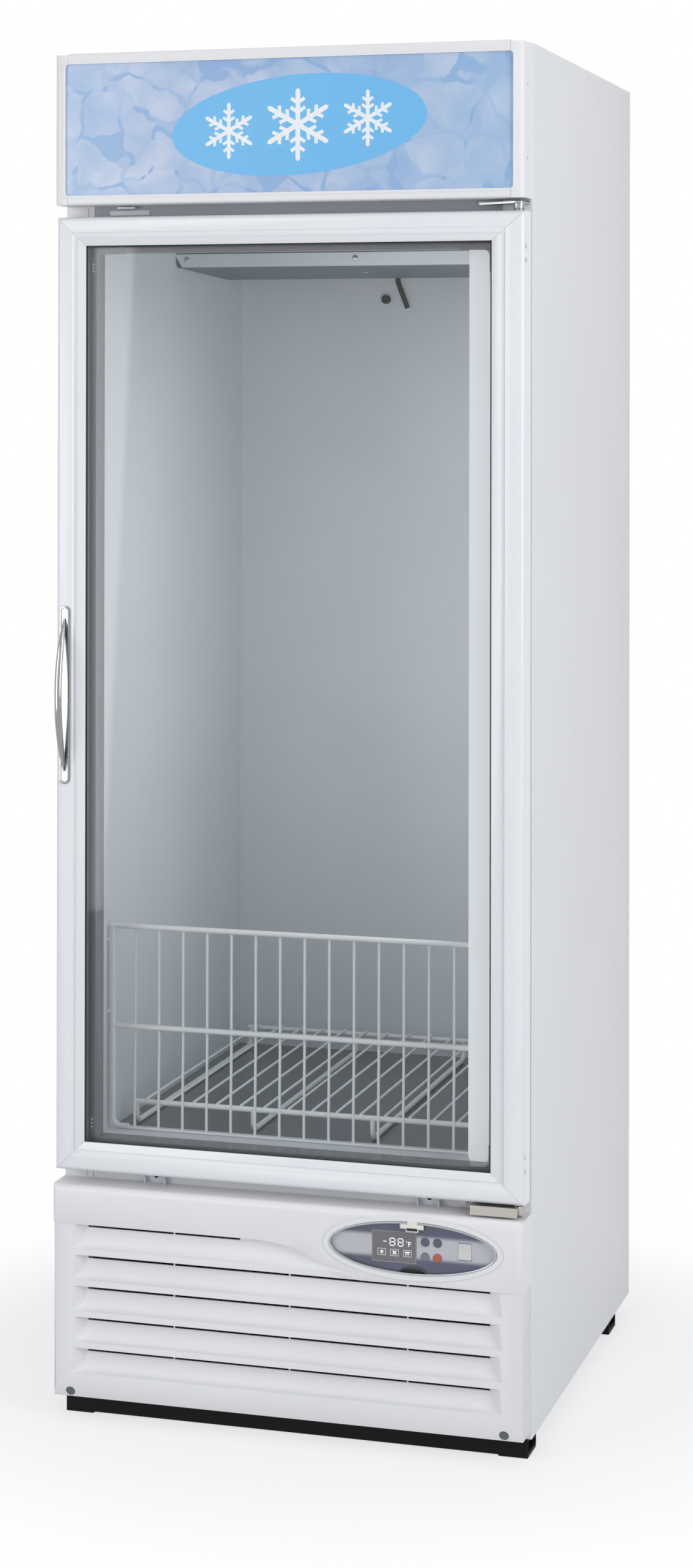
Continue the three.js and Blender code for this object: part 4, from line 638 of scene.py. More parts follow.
    # Control film, silver band on navy: smooth polyester.
    control_film = BandedFilm(
        "banded_control_film", "#474c66", "#474c66", 0.3, grain_mm=0.6, grain_height_mm=0.002
    )
    # Sign print on the back of a clear acrylic face.
    ice_print = IceChipFilm("ice_chip_print", "#a1b9db", "#b2c4df", 0.3, coat=0.2, grain_height_mm=0.002)
    # Cyan vinyl of the sign's oval: even, a little less glossy than the face.
    cyan_vinyl = Finish("cyan_vinyl", "#70bdee", "#6bb9ec", 0.34, coat=0.2, grain_height_mm=0.004)
    # White vinyl of the sign's snow crystals: as even as the oval.
    white_vinyl = Finish("white_vinyl", "#f2f5f8", "#edf1f6", 0.34, coat=0.2, grain_height_mm=0.004)
    # Dark window of the display: a clear coat over grey.
    display_face = Finish("display_window", "#69686b", "#636265", 0.3, coat=0.3, grain_height_mm=0.002)
    # Tan printed border of the display: flat ink, half dull.
    display_border = Finish("tan_print", "#b3a597", "#ab9d90", 0.5)
    # Lit white bars of the digits and icons.
    lit_segment = Glowing("lit_white_segment", "#f8f8f4", "#f5f5f1", 0.4, glow=0.6)
    # Embossed aluminium sheet of the evaporator cover: dull, pebbled every 5 mm, its grey-blue darkened to
    # paint the shade under the cover.
    embossed_painted_shade = Finish(
        "embossed_aluminium_painted_shade", "#6a7480", "#5c6672", 0.42, metallic=0.4, grain_mm=5.0, grain_height_mm=0.08
    )
    # Opal cover of the lamps: an even soft glow.
    opal = Glowing("opal_lamp_cover", "#eceef1", "#e9ebef", 0.45, glow=0.38)
    # Silicone button caps: dull.
    dark_button = Finish("slate_button", "#4a4f63", "#444a5e", 0.5)
    grey_button = Finish("grey_button", "#7b7f89", "#747882", 0.5)
    red_button = Finish("red_button", "#c8503f", "#c04a3a", 0.45)
    # Cream ABS of the rocker and the cover's catch: half dull.
    cream_abs = Finish("cream_abs", "#eceae2", "#e6e4dc", 0.4)
    # Grey polypropylene of the screw plugs: waxy and half dull.
    grey_plug = Finish("grey_polypropylene", "#63666c", "#5b5e64", 0.5)
    # Zinc-plated screws and rivets: bright, with a fine grain.
    zinc = Finish("zinc_plate", "#c6c8cb", "#b9bcc0", 0.28, metallic=1.0, grain_mm=0.7)
    # Black elastomer of the glazing strip and the probe, and the dark of joints; also painted shade in small
    # holes, slots and recesses.
    black_rubber_and_hole_shade = Finish("black_elastomer_and_hole_shade", "#1f2024", "#1a1b1e", 0.7)

    _made: dict[str, bpy.types.Material] = {}

    @classmethod
    def of(cls, finish: Finish) -> bpy.types.Material:
        """Finds the one material of a finish, or makes it.

        Args:
            finish: The finish.

        Returns:
            Its material.
        """
        if finish.name not in cls._made:
            cls._made[finish.name] = finish.make()
        return cls._made[finish.name]


# ---------- shaping ----------


def edges_of(verts: Sequence[bmesh.types.BMVert]) -> list[bmesh.types.BMEdge]:
    """Returns the edges at some vertices, each once, in the same order on every run."""
    return list(dict.fromkeys(e for v in verts for e in v.link_edges))


def block(bm: bmesh.types.BMesh, low: Point, high: Point, bevel: float = 0.0) -> None:
    """Adds a block between two corners.

    Args:
        bm: The mesh that takes it.
        low: Its lowest corner.
        high: Its highest corner.
        bevel: The radius of its edges, or 0.
    """
    low, high = Vector(low), Vector(high)
    size = high - low
    matrix = Matrix.Translation((low + high) / 2) @ Matrix.Diagonal((*size, 1.0))
    made = bmesh.ops.create_cube(bm, size=1.0, matrix=matrix)
    if bevel:
        bmesh.ops.bevel(
            bm,
            geom=edges_of(made["verts"]),
            offset=bevel,
            segments=BEVEL_STEPS,
            affect="EDGES",
            profile=0.5,
            material=-1,
        )


def disc(radius: float, height: float) -> Profile:
    """Returns the profile of a flat disc, for turning."""
    return (0.0, 0.0), (radius, 0.0), (radius, height), (0.0, height)


def turned(bm: bmesh.types.BMesh, centre: Point, axis: Vector, profile: Profile, sides: int = 24) -> None:
    """Adds a turned solid.

    Args:
        bm: The mesh that takes it.
        centre: The point on the axis from which the profile's heights are measured.
        axis: The axis's direction.
        profile: (radius, height) pairs from one end to the other; the end radii may be 0.
        sides: The steps round.
    """
    turn = axis.to_track_quat("Z", "Y").to_matrix().to_4x4()
    place = Matrix.Translation(Vector(centre)) @ turn
    before = set(bm.verts)
    rows = [bm.verts.new(place @ Vector((radius, 0.0, height))) for radius, height in profile]
    edges = [bm.edges.new(pair) for pair in zip(rows, rows[1:])]
    bmesh.ops.spin(
        bm,
        geom=[*rows, *edges],
        cent=Vector(centre),
        axis=axis,
        angle=math.tau,
        steps=sides,
        use_merge=True,
    )
    new = [v for v in bm.verts if v not in before]
    bmesh.ops.remove_doubles(bm, verts=new, dist=MERGE_MM)
    new = [v for v in bm.verts if v not in before]
    open_edges = [e for e in edges_of(new) if e.is_boundary]
    if open_edges:
        bmesh.ops.holes_fill(bm, edges=open_edges, sides=0)
    faces = list(dict.fromkeys(f for v in new for f in v.link_faces))
    bmesh.ops.recalc_face_normals(bm, faces=faces)


def rod(
    bm: bmesh.types.BMesh,
    points: Sequence[Point],
    radius: float,
    bend: float = 8.0,
    sides: int = 12,
    steps: int = 5,
) -> None:
    """Bends a round rod through points, as wire is bent on a former.

    Args:
        bm: The mesh that takes it.
        points: The corners of its centreline.
        radius: The wire's radius.
        bend: The radius of each bend's centreline.
        sides: The faces round the wire.
        steps: The steps of each bend.
    """
    path = [Vector(p) for p in points]
    ways = [(b - a).normalized() for a, b in zip(path, path[1:])]
    start = Matrix.Translation(path[0]) @ ways[0].to_track_quat("Z", "Y").to_matrix().to_4x4()
    ring = bmesh.ops.create_circle(bm, cap_ends=False, radius=radius, segments=sides, matrix=start)["verts"]
    loop = edges_of(ring)
    first = list(loop)
    here = path[0]
    for index, way in enumerate(ways):
        last = index == len(ways) - 1
        theta = 0.0 if last else way.angle(ways[index + 1])
        back = bend * math.tan(theta / 2)
        stop = path[index + 1] - way * back
        grown = bmesh.ops.extrude_edge_only(bm, edges=loop)["geom"]
        verts = [g for g in grown if isinstance(g, bmesh.types.BMVert)]
        loop = [g for g in grown if isinstance(g, bmesh.types.BMEdge)]
        bmesh.ops.translate(bm, verts=verts, vec=stop - here)
        here = stop
        if last or theta < STRAIGHT:
            continue
        axis = way.cross(ways[index + 1]).normalized()
        inward = axis.cross(way).normalized()
        spun = bmesh.ops.spin(
            bm,
            geom=[*loop, *verts],
            cent=stop + inward * bend,
            axis=axis,
            angle=theta,
            steps=steps,
        )["geom_last"]
        loop = [g for g in spun if isinstance(g, bmesh.types.BMEdge)]
        here = path[index + 1] + ways[index + 1] * back
    bmesh.ops.edgeloop_fill(bm, edges=first)
    bmesh.ops.edgeloop_fill(bm, edges=loop)


def plate(
    bm: bmesh.types.BMesh,
    outline: Sequence[tuple[float, float]],
    front: float,
    rear: float,
    bevel: float = 0.0,
) -> None:
    """Adds a flat plate that stands across the Y axis.

    Args:
        bm: The mesh that takes it.
        outline: Its (x, z) corners in order.
        front: The Y of its front.
        rear: The Y of its rear.
        bevel: The radius of its front edge, or 0.
    """
    face = bm.faces.new([bm.verts.new((x, rear, z)) for x, z in outline])
    grown = bmesh.ops.extrude_face_region(bm, geom=[face])["geom"]
    verts = [g for g in grown if isinstance(g, bmesh.types.BMVert)]
    bmesh.ops.translate(bm, verts=verts, vec=(0.0, front - rear, 0.0))
    if bevel:
        rim = [e for e in edges_of(verts) if all(v in verts for v in e.verts)]
        bmesh.ops.bevel(
            bm, geom=rim, offset=bevel, segments=BEVEL_STEPS, affect="EDGES", profile=0.5, material=-1
        )


SCREW_RISE = 0.45
RECESS_TURN = math.radians(38)


def cross_screw(bm: bmesh.types.BMesh, at: Point, out: Vector, radius: float) -> None:
    """Adds the head of a cross-recess screw.

    Args:
        bm: The mesh that takes it.
        at: The middle of the face it sits on.
        out: The direction in which the head stands off that face.
        radius: The head's radius.
    """
    rise = radius * SCREW_RISE
    shoulder = (radius * 0.95, rise * 0.5)
    turned(bm, at, out, [(0.0, 0.0), (radius, 0.0), shoulder, (radius * 0.7, rise), (0.0, rise)])


def cross_recess_shade(bm: bmesh.types.BMesh, at: Point, out: Vector, radius: float) -> None:
    """Paints the shade of the cross recess in a screw's head, as a dark thin inlay just proud of it.

    Args:
        bm: The mesh that takes it.
        at: The middle of the face that the screw sits on.
        out: The direction in which the head stands off that face.
        radius: The head's radius.
    """
    rise = radius * SCREW_RISE
    turn = out.to_track_quat("Z", "Y").to_matrix().to_4x4()
    place = Matrix.Translation(Vector(at) + out * rise) @ turn @ Matrix.Rotation(RECESS_TURN, 4, "Z")
    for half_x, half_y, half_z in ((0.52, 0.13, 0.04), (0.13, 0.52, 0.036)):
        before = set(bm.verts)
        corner = Vector((half_x * radius, half_y * radius, half_z))
        block(bm, -corner, corner)
        bmesh.ops.transform(bm, matrix=place, verts=[v for v in bm.verts if v not in before])


def ellipse_points(x: float, z: float, a: float, b: float, count: int = 96) -> list[tuple[float, float]]:
    """Returns points round an ellipse in the (x, z) plane."""
    return [
        (x + a * math.cos(i * math.tau / count), z + b * math.sin(i * math.tau / count)) for i in range(count)
    ]


@dataclass
class SubAssembly:
    """A group of pieces that ride on one body and are finished alike."""

    body: str = "cabinet"
    made: list[bpy.types.Object] = field(default_factory=list)

    def dress(self, finish: Finish, *nodes: str) -> None:
        """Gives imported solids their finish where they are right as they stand.

        Args:
            finish: The finish.
            nodes: The solids' names.
        """
        for node in nodes:
            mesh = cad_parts[node].data
            mesh.materials.clear()
            mesh.materials.append(Finishes.of(finish))
            log.info("dressed %s in %s", node, finish.name)

    def refine(
        self, finish: Finish, slot: str, node: str, round_mm: float, body: str = ""
    ) -> bpy.types.Object:
        """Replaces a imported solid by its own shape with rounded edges.

        Args:
            finish: The finish.
            slot: The record's slot.
            node: The solid's name.
            round_mm: The radius of its edges.
            body: The body it rides on, where it isn't the group's own.

        Returns:
            The new piece.
        """
        bm = bmesh.new()
        bm.from_mesh(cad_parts[node].data)
        bmesh.ops.remove_doubles(bm, verts=bm.verts[:], dist=1e-6)
        bmesh.ops.dissolve_limit(
            bm,
            angle_limit=math.radians(0.6),
            verts=bm.verts[:],
            edges=bm.edges[:],
            use_dissolve_boundaries=False,
        )
        many_sided = [f for f in bm.faces if len(f.verts) > 4]
        bmesh.ops.triangulate(bm, faces=many_sided, quad_method="BEAUTY", ngon_method="BEAUTY")
        bmesh.ops.transform(bm, matrix=TO_ROW.inverted(), verts=bm.verts[:])
        return self.add(node + "_skin", bm, finish, slot, body=body, round_mm=round_mm, replaces=(node,))

    def add(
        self,
        name: str,
        bm: bmesh.types.BMesh,
        finish: Finish,
        slot: str,
        body: str = "",
        round_mm: float = 0.0,
        replaces: Sequence[str] = (),
    ) -> bpy.types.Object:
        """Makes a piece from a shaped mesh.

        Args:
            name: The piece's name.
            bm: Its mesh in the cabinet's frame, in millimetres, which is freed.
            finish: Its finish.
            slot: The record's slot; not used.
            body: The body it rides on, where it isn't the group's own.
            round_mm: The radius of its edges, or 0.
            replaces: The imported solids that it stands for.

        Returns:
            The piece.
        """
        bmesh.ops.transform(bm, matrix=TO_ROW, verts=bm.verts[:])
        mesh = bpy.data.meshes.new(name)
        bm.to_mesh(mesh)
        bm.free()
        mesh.materials.append(Finishes.of(finish))
        mesh.shade_smooth()
        mesh.set_sharp_from_angle(angle=SMOOTH_BELOW)
        piece = bpy.data.objects.new(name, mesh)
        bpy.context.scene.collection.objects.link(piece)
        if round_mm:
            bevel = piece.modifiers.new("rounded_edges", "BEVEL")
            bevel.width = round_mm * MM
            bevel.segments = BEVEL_STEPS
            bevel.limit_method = "ANGLE"
            bevel.angle_limit = SMOOTH_BELOW
            bevel.harden_normals = True
        if replaces:
            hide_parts(*replaces)
        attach(piece, body or self.body)
        self.made.append(piece)
        log.info("made %s, %d faces, in %s", name, len(mesh.polygons), finish.name)
        return piece


# ---------- cabinet ----------


@dataclass
class Cabinet(SubAssembly):
    """The painted skins, the base rails, the breaker frame and the small things on the cabinet's face."""

    skin_round: float = 0.35
    cover_round: float = 0.25
    rail_round: float = 1.2
    breaker_round: float = 1.0
    ceiling_round: float = 0.3
    clip_plate: Corners = ((-276.0, -1.6, 1719.5), (-216.0, -0.2, 1727.0))
    clip_tab: Corners = ((-262.0, -12.0, 1728.6), (-236.0, -1.0, 1731.6))
    clip_round: float = 0.4
    catch_x: tuple[float, float] = (-203.5, 197.8)
    catch_width: float = 30.0
    catch_yz: Corners = ((-0.2, 336.0), (1.2, 346.4))
    cheek_half: float = 0.8
    cheek_yz: Corners = ((-9.0, 336.4), (0.4, 345.6))
    catch_round: float = 0.3
    catch_hole_yz: tuple[float, float] = (-0.15, 347.0)
    hole_radius: float = 3.4
    seams: tuple[Corners, ...] = (
        ((-309.6, -0.06, 1718.0), (-309.1, 0.0, 1731.0)),
        ((-309.3, -0.06, 339.0), (-308.8, 0.0, 352.0)),
    )
    face_hole_shade: tuple[float, float, float] = (333.2, -0.05, 1712.5)

    def build(self) -> None:
        """Builds the cabinet."""
        for node in ("left_side_panel", "right_side_panel", "roof_panel", "rear_panel"):
            self.refine(Finishes.powder_coat, "white_paint", node, self.skin_round)
        # The face over the door gets a grey that paints in the canopy's shade.
        self.refine(Finishes.face_grey_painted_shade, "white_paint", "upper_face_panel", self.skin_round)
        self.refine(Finishes.powder_coat, "white_paint", "rear_service_cover", self.cover_round)
        for node in ("front_base_rail", "rear_base_rail"):
            self.refine(Finishes.black_coat, "black_paint", node, self.rail_round)
        self.refine(Finishes.white_pvc, "white_plastic", "breaker_frame", self.breaker_round)
        self.refine(Finishes.powder_coat, "white_paint", "compartment_ceiling", self.ceiling_round)
        self.dress(Finishes.galvanised, "base_pan")
        self.dress(Finishes.foam, "foam_insulation")
        self.upper_clip()
        self.lower_clips()
        self.face_seams_and_hole_shade()

    def upper_clip(self) -> None:
        """Adds the plate and the tab that hold the canopy, seen in the gap over the door."""
        bm = bmesh.new()
        for low, high in (self.clip_plate, self.clip_tab):
            block(bm, low, high, bevel=self.clip_round)
        self.add("canopy_clip", bm, Finishes.white_pvc, "white_plastic")

    def lower_clips(self) -> None:
        """Adds the two catches of the grille panel, seen in the gap under the door, each with a dark disc of
        painted shade for its hole.
        """
        bm = bmesh.new()
        dark = bmesh.new()
        catch_low, catch_high = self.catch_yz
        cheek_low, cheek_high = self.cheek_yz
        for middle in self.catch_x:
            left, right = middle - self.catch_width / 2, middle + self.catch_width / 2
            block(bm, (left, *catch_low), (right, *catch_high), bevel=self.catch_round)
            for x in (left, right):
                low, high = (x - self.cheek_half, *cheek_low), (x + self.cheek_half, *cheek_high)
                block(bm, low, high, bevel=self.catch_round)
            # A dark disc paints the shade in each catch's hole.
            turned(dark, (middle, *self.catch_hole_yz), FRONTWARD, disc(self.hole_radius, 0.12))
        self.add("grille_catches", bm, Finishes.white_pvc, "white_plastic")
        self.add("grille_catch_hole_shade", dark, Finishes.black_rubber_and_hole_shade, "black_plastic")

    def face_seams_and_hole_shade(self) -> None:
        """Scribes the joints of the cabinet's face above and below the door, and paints the shade of a hole
        beside the pin as a dark disc.
        """
        bm = bmesh.new()
        for low, high in self.seams:
            block(bm, low, high)
        # The disc is painted shade for the hole.
        turned(bm, self.face_hole_shade, FRONTWARD, disc(self.hole_radius, 0.1))
        self.add("face_seams_and_hole_shade", bm, Finishes.black_rubber_and_hole_shade, "black_plastic")


@dataclass
class Header(SubAssembly):
    """The lit sign canopy over the door, with a cyan oval and snow crystals on its print."""

    moulding_round: float = 0.3
    oval_x: float = 19.0
    oval_z: float = 1840.0
    oval_half_length: float = 185.0
    oval_half_height: float = 70.0
    oval_lean: float = 0.065
    crystal_x: tuple[float, ...] = (-82.0, 19.0, 120.0)
    crystal_size: tuple[float, ...] = (0.78, 1.0, 0.78)
    arms: int = 6
    arm: float = 48.0
    arm_half: float = 3.4
    twig_half: float = 2.5
    twigs: tuple[tuple[float, float], ...] = ((17.0, 13.0), (30.0, 12.0))
    twig_lean: float = math.radians(55)
    rivets: tuple[tuple[float, float], ...] = ((-33.0, 1887.8), (-34.5, 1787.7))
    rivet_head: Profile = ((0.0, 0.0), (2.6, 0.0), (2.2, 0.3), (1.2, 0.55), (0.0, 0.6))
    film: float = 0.25

    def build(self) -> None:
        """Builds the canopy and its sign."""
        for node in ("header_top_rail", "header_bottom_rail", "header_end_cap_left", "header_end_cap_right"):
            self.refine(Finishes.moulded_abs, "white_plastic", node, self.moulding_round)
        self.dress(Finishes.ice_print, "sign_panel")
        self.dress(Finishes.opal, "sign_lamp")
        self.oval()
        self.snow_crystals()
        self.end_rivets()

    def lifted(self, x: float) -> float:
        """Returns how far the oval's middle line rises at a place along it."""
        return (x - self.oval_x) * self.oval_lean

    def oval(self) -> None:
        """Lays the cyan oval on the sign's face; its middle line climbs a little to the right."""
        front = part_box("sign_panel")[0].y / MM - FACE_Y
        bm = bmesh.new()
        points = ellipse_points(self.oval_x, self.oval_z, self.oval_half_length, self.oval_half_height, 128)
        plate(bm, [(x, z + self.lifted(x)) for x, z in points], front - self.film, front)
        self.add("sign_oval", bm, Finishes.cyan_vinyl, "sign_film")

    def half_arm(self) -> list[tuple[float, float]]:
        """Works out one side of a crystal's arm, with its twigs.

        Returns:
            The corners as (along, across), from the hub out.
        """
        lean_along, lean_across = math.cos(self.twig_lean), math.sin(self.twig_lean)
        corners = [(self.arm_half / math.tan(math.pi / self.arms), self.arm_half)]
        for height, reach in self.twigs:
            off_along, off_across = self.twig_half * lean_across, self.twig_half * lean_along
            for way, spans in ((-1, (None, reach)), (1, (reach, None))):
                for span in spans:
                    t = (self.arm_half + way * off_across) / lean_across if span is None else span
                    corners.append(
                        (height + t * lean_along + way * off_along, t * lean_across - way * off_across)
                    )
        corners.append((self.arm, self.arm_half))
        return corners

    def snow_crystals(self) -> None:
        """Cuts three six-armed snow crystals from white vinyl, over the oval."""
        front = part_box("sign_panel")[0].y / MM - FACE_Y - self.film
        half = self.half_arm()
        bm = bmesh.new()
        for middle, size in zip(self.crystal_x, self.crystal_size):
            height = self.oval_z + self.lifted(middle)
            outline = []
            for turn in range(self.arms):
                angle = turn * math.tau / self.arms
                ray = [(along, -across) for along, across in half]
                ray += [(self.arm + self.arm_half, 0.0)]
                ray += list(reversed(half[1:]))
                for along, across in ray:
                    x = middle + size * (along * math.sin(angle) + across * math.cos(angle))
                    z = height + size * (along * math.cos(angle) - across * math.sin(angle))
                    outline.append((x, z))
            plate(bm, outline, front - self.film, front)
        bmesh.ops.triangulate(bm, faces=bm.faces[:], quad_method="BEAUTY", ngon_method="EAR_CLIP")
        bmesh.ops.recalc_face_normals(bm, faces=bm.faces[:])
        self.add("sign_snow_crystals", bm, Finishes.white_vinyl, "sign_film")

    def end_rivets(self) -> None:
        """Sets the two rivets in the canopy's right end."""
        bm = bmesh.new()
        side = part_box("header_end_cap_right")[1].x / MM
        for y, z in self.rivets:
            turned(bm, (side, y, z), ACROSS, self.rivet_head)
        self.add("canopy_end_rivets", bm, Finishes.zinc, "pin_steel")


@dataclass
class LowerPanel(SubAssembly):
    """The moulded grille panel under the door, with its two screw plugs."""

    panel_round: float = 0.5
    plug_x: float = 315.0
    plug_yz: tuple[float, float] = (-49.5, 44.6)
    plug_out: tuple[float, float, float] = (0.0, -0.949, -0.316)
    plug_radius: float = 6.9
    plug_lip: float = 0.5
    plug_dish: float = 1.6

    def build(self) -> None:
        """Builds the panel and its plugs."""
        self.refine(Finishes.moulded_abs, "white_plastic", "lower_grille_panel", self.panel_round)
        radius = self.plug_radius
        profile = (
            (0.0, -0.2),
            (radius, -0.2),
            (radius, 0.35),
            (radius - self.plug_lip, 0.6),
            (radius - self.plug_dish, 0.3),
            (0.0, 0.25),
        )
        for side in Side:
            bm = bmesh.new()
            turned(bm, (side.value * self.plug_x, *self.plug_yz), Vector(self.plug_out), profile)
            self.add(f"grille_plug_{side.name.lower()}", bm, Finishes.grey_plug, "white_plastic")


@dataclass
class ControlPanel(SubAssembly):
    """The oval control panel: bezel, film, display, buttons, rocker and flip cover."""

    button_round: float = 0.3
    cover_round: float = 0.2
    rocker_round: float = 0.6
    display_x: float = 159.8
    display_z: float = 288.6
    display_width: float = 63.2
    display_height: float = 43.2
    display_front: float = -48.7
    border: float = 1.0
    layer: float = 0.1
    bar_thick: float = 0.12
    middle_bar: float = 6.6
    digit_x: tuple[float, float] = (-2.4, 9.2)
    digit_half: float = 5.0
    digit_width: float = 7.0
    digit_bar: float = 1.3
    bar_gap: float = 0.7
    minus: tuple[float, ...] = (-15.5, 6.6, -10.8, 6.6, 1.1)
    letter: tuple[tuple[float, ...], ...] = (
        (20.6, 1.6, 20.6, 8.0, 1.1),
        (20.1, 7.5, 24.2, 7.5, 1.1),
        (20.6, 4.9, 23.4, 4.9, 1.0),
    )
    degree_xz: tuple[float, float] = (17.8, 7.9)
    degree_radius: float = 0.9
    degree_bar: float = 0.4
    icon_x: tuple[float, float, float] = (-17.6, 0.6, 18.8)
    icon_z: float = -8.0
    icon_low: float = -12.4
    icon_high: float = -3.6
    icon_half: float = 5.6
    icon_bar: float = 0.35
    heater: tuple[float, ...] = (15.4, -6.4, 22.2, -6.4, 1.6)
    drip_x: tuple[float, ...] = (16.6, 18.8, 21.0)
    catch_x: float = 187.4
    catch_parts: tuple[tuple[float, Point, Point, float], ...] = (
        (16.2, (-58.4, 317.3), (-57.2, 322.7), 0.4),
        (6.8, (-58.2, 322.0), (-54.6, 326.6), 0.5),
        (9.0, (-58.2, 312.9), (-57.2, 318.0), 0.25),
    )
    catch_slot_shade: tuple[float, Point, Point, float] = (7.6, (-58.5, 314.4), (-58.15, 318.2), 0.05)
    notch_xz: tuple[float, float] = (187.6, 256.3)
    notch_size: tuple[float, float] = (19.0, 8.0)
    notch_floor: float = 256.2
    notch_y: tuple[float, float] = (-48.62, -48.45)

    def build(self) -> None:
        """Builds the control panel."""
        self.refine(Finishes.satin_chrome, "aluminium", "control_bezel", 0.3)
        self.refine(Finishes.control_film, "fascia_film", "control_fascia", 0.0)
        self.refine(Finishes.smoked, "smoked_cover", "control_cover", self.cover_round, body="control_cover")
        self.dress(Finishes.black_nylon, "display_module")
        for node, finish, slot in (
            ("light_button", Finishes.dark_button, "dark_button"),
            ("raise_button", Finishes.dark_button, "dark_button"),
            ("lower_button", Finishes.grey_button, "grey_button"),
            ("alarm_button", Finishes.red_button, "red_button"),
        ):
            self.refine(finish, slot, node, self.button_round, body=node)
        self.refine(
            Finishes.cream_abs, "white_plastic", "rocker_switch", self.rocker_round, body="rocker_switch"
        )
        self.display()
        self.catch()

    def catch_part(self, bm: bmesh.types.BMesh, half: float, low: Point, high: Point, bevel: float) -> None:
        """Adds a block of the catch, centred on it.

        Args:
            bm: The mesh that takes it.
            half: Half its width.
            low: Its lowest Y and Z.
            high: Its highest Y and Z.
            bevel: The radius of its edges.
        """
        block(bm, (self.catch_x - half, *low), (self.catch_x + half, *high), bevel=bevel)

    def catch(self) -> None:
        """Adds the white catch over the cover's upper edge, and dark inlays of painted shade in its slot and
        in the finger notch under its lower edge.
        """
        bm = bmesh.new()
        for part in self.catch_parts:
            self.catch_part(bm, *part)
        self.add("cover_catch", bm, Finishes.cream_abs, "white_plastic")
        # Thin dark inlays paint the shade in the catch's slot and in the finger notch.
        bm = bmesh.new()
        self.catch_part(bm, *self.catch_slot_shade)
        points = ellipse_points(*self.notch_xz, *self.notch_size, 64)
        plate(bm, [p for p in points if p[1] >= self.notch_floor], *self.notch_y)
        bmesh.ops.recalc_face_normals(bm, faces=bm.faces[:])
        self.add("cover_catch_slot_shade", bm, Finishes.black_rubber_and_hole_shade, "black_plastic")

    def display(self) -> None:
        """Lays the display's window, its border, digits and icons on the module's face."""
        front = self.display_front
        bm = bmesh.new()
        self.sheet(bm, 0.0, front - self.layer, front)
        self.add("display_border", bm, Finishes.display_border, "black_plastic")
        bm = bmesh.new()
        self.sheet(bm, self.border, front - 2 * self.layer, front - self.layer)
        self.add("display_window", bm, Finishes.display_face, "black_plastic")
        bm = bmesh.new()
        self.digits(bm)
        self.icons(bm)
        self.add("display_digits", bm, Finishes.lit_segment, "lamp_white")

    def sheet(self, bm: bmesh.types.BMesh, inset: float, front: float, rear: float) -> None:
        """Adds one flat layer of the display.

        Args:
            bm: The mesh that takes it.
            inset: How far it stays inside the display's edge.
            front: The Y of its front.
            rear: The Y of its rear.
        """
        half_x, half_z = self.display_width / 2, self.display_height / 2
        block(
            bm,
            (self.display_x - half_x + inset, front, self.display_z - half_z + inset),
            (self.display_x + half_x - inset, rear, self.display_z + half_z - inset),
        )

    def bar(self, bm: bmesh.types.BMesh, x0: float, z0: float, x1: float, z1: float, width: float) -> None:
        """Adds one lit bar on the display's window.

        Args:
            bm: The mesh that takes it.
            x0: The X of its start, from the display's middle, as are the other three.
            z0: The Z of its start.
            x1: The X of its end.
            z1: The Z of its end.
            width: Its width.
        """
        face = self.display_front - 2 * self.layer
        start = Vector((self.display_x + x0, 0.0, self.display_z + z0))
        end = Vector((self.display_x + x1, 0.0, self.display_z + z1))
        way = (end - start).normalized()
        side = Vector((-way.z, 0.0, way.x)) * width / 2
        corners = [start - side, end - side, end + side, start + side]
        plate(bm, [(c.x, c.z) for c in corners], face - self.bar_thick, face)

    def digits(self, bm: bmesh.types.BMesh) -> None:
        """Adds the minus, two seven-bar digits and the degree mark with its letter.

        Args:
            bm: The mesh that takes them.
        """
        self.bar(bm, *self.minus)
        line, gap = self.middle_bar, self.bar_gap
        low, high = line - self.digit_half, line + self.digit_half
        for middle in self.digit_x:
            left, right = middle - self.digit_width / 2, middle + self.digit_width / 2
            for z in (low, line, high):
                self.bar(bm, left + gap, z, right - gap, z, self.digit_bar)
            for x in (left, right):
                self.bar(bm, x, low + gap, x, line - gap, self.digit_bar)
                self.bar(bm, x, line + gap, x, high - gap, self.digit_bar)
        for stroke in self.letter:
            self.bar(bm, *stroke)
        ring = ellipse_points(*self.degree_xz, self.degree_radius, self.degree_radius, 6)
        for start, end in zip(ring, ring[1:] + ring[:1]):
            self.bar(bm, *start, *end, self.degree_bar)

    def icons(self, bm: bmesh.types.BMesh) -> None:
        """Adds three framed icons: cooling, fan and defrost.

        Args:
            bm: The mesh that takes them.
        """
        low, high, half = self.icon_low, self.icon_high, self.icon_half
        for middle in self.icon_x:
            for x0, z0, x1, z1 in (
                (middle - half, low, middle + half, low),
                (middle - half, high, middle + half, high),
                (middle - half, low, middle - half, high),
                (middle + half, low, middle + half, high),
            ):
                self.bar(bm, x0, z0, x1, z1, self.icon_bar)
        cooling_x, fan_x, _ = self.icon_x
        z = self.icon_z
        for turn in range(3):
            angle = turn * math.pi / 3 + math.pi / 2
            dx, dz = 3.0 * math.cos(angle), 3.0 * math.sin(angle)
            self.bar(bm, cooling_x - dx, z - dz, cooling_x + dx, z + dz, 0.7)
        for turn in range(4):
            angle = turn * math.pi / 2 + math.pi / 4
            dx, dz = 3.3 * math.cos(angle), 3.3 * math.sin(angle)
            self.bar(bm, fan_x + dx * 0.15, z + dz * 0.15, fan_x + dx, z + dz, 1.5)
        self.bar(bm, *self.heater)
        for x in self.drip_x:
            self.bar(bm, x, -7.4, x - 0.6, -10.6, 0.7)


# ---------- door ----------


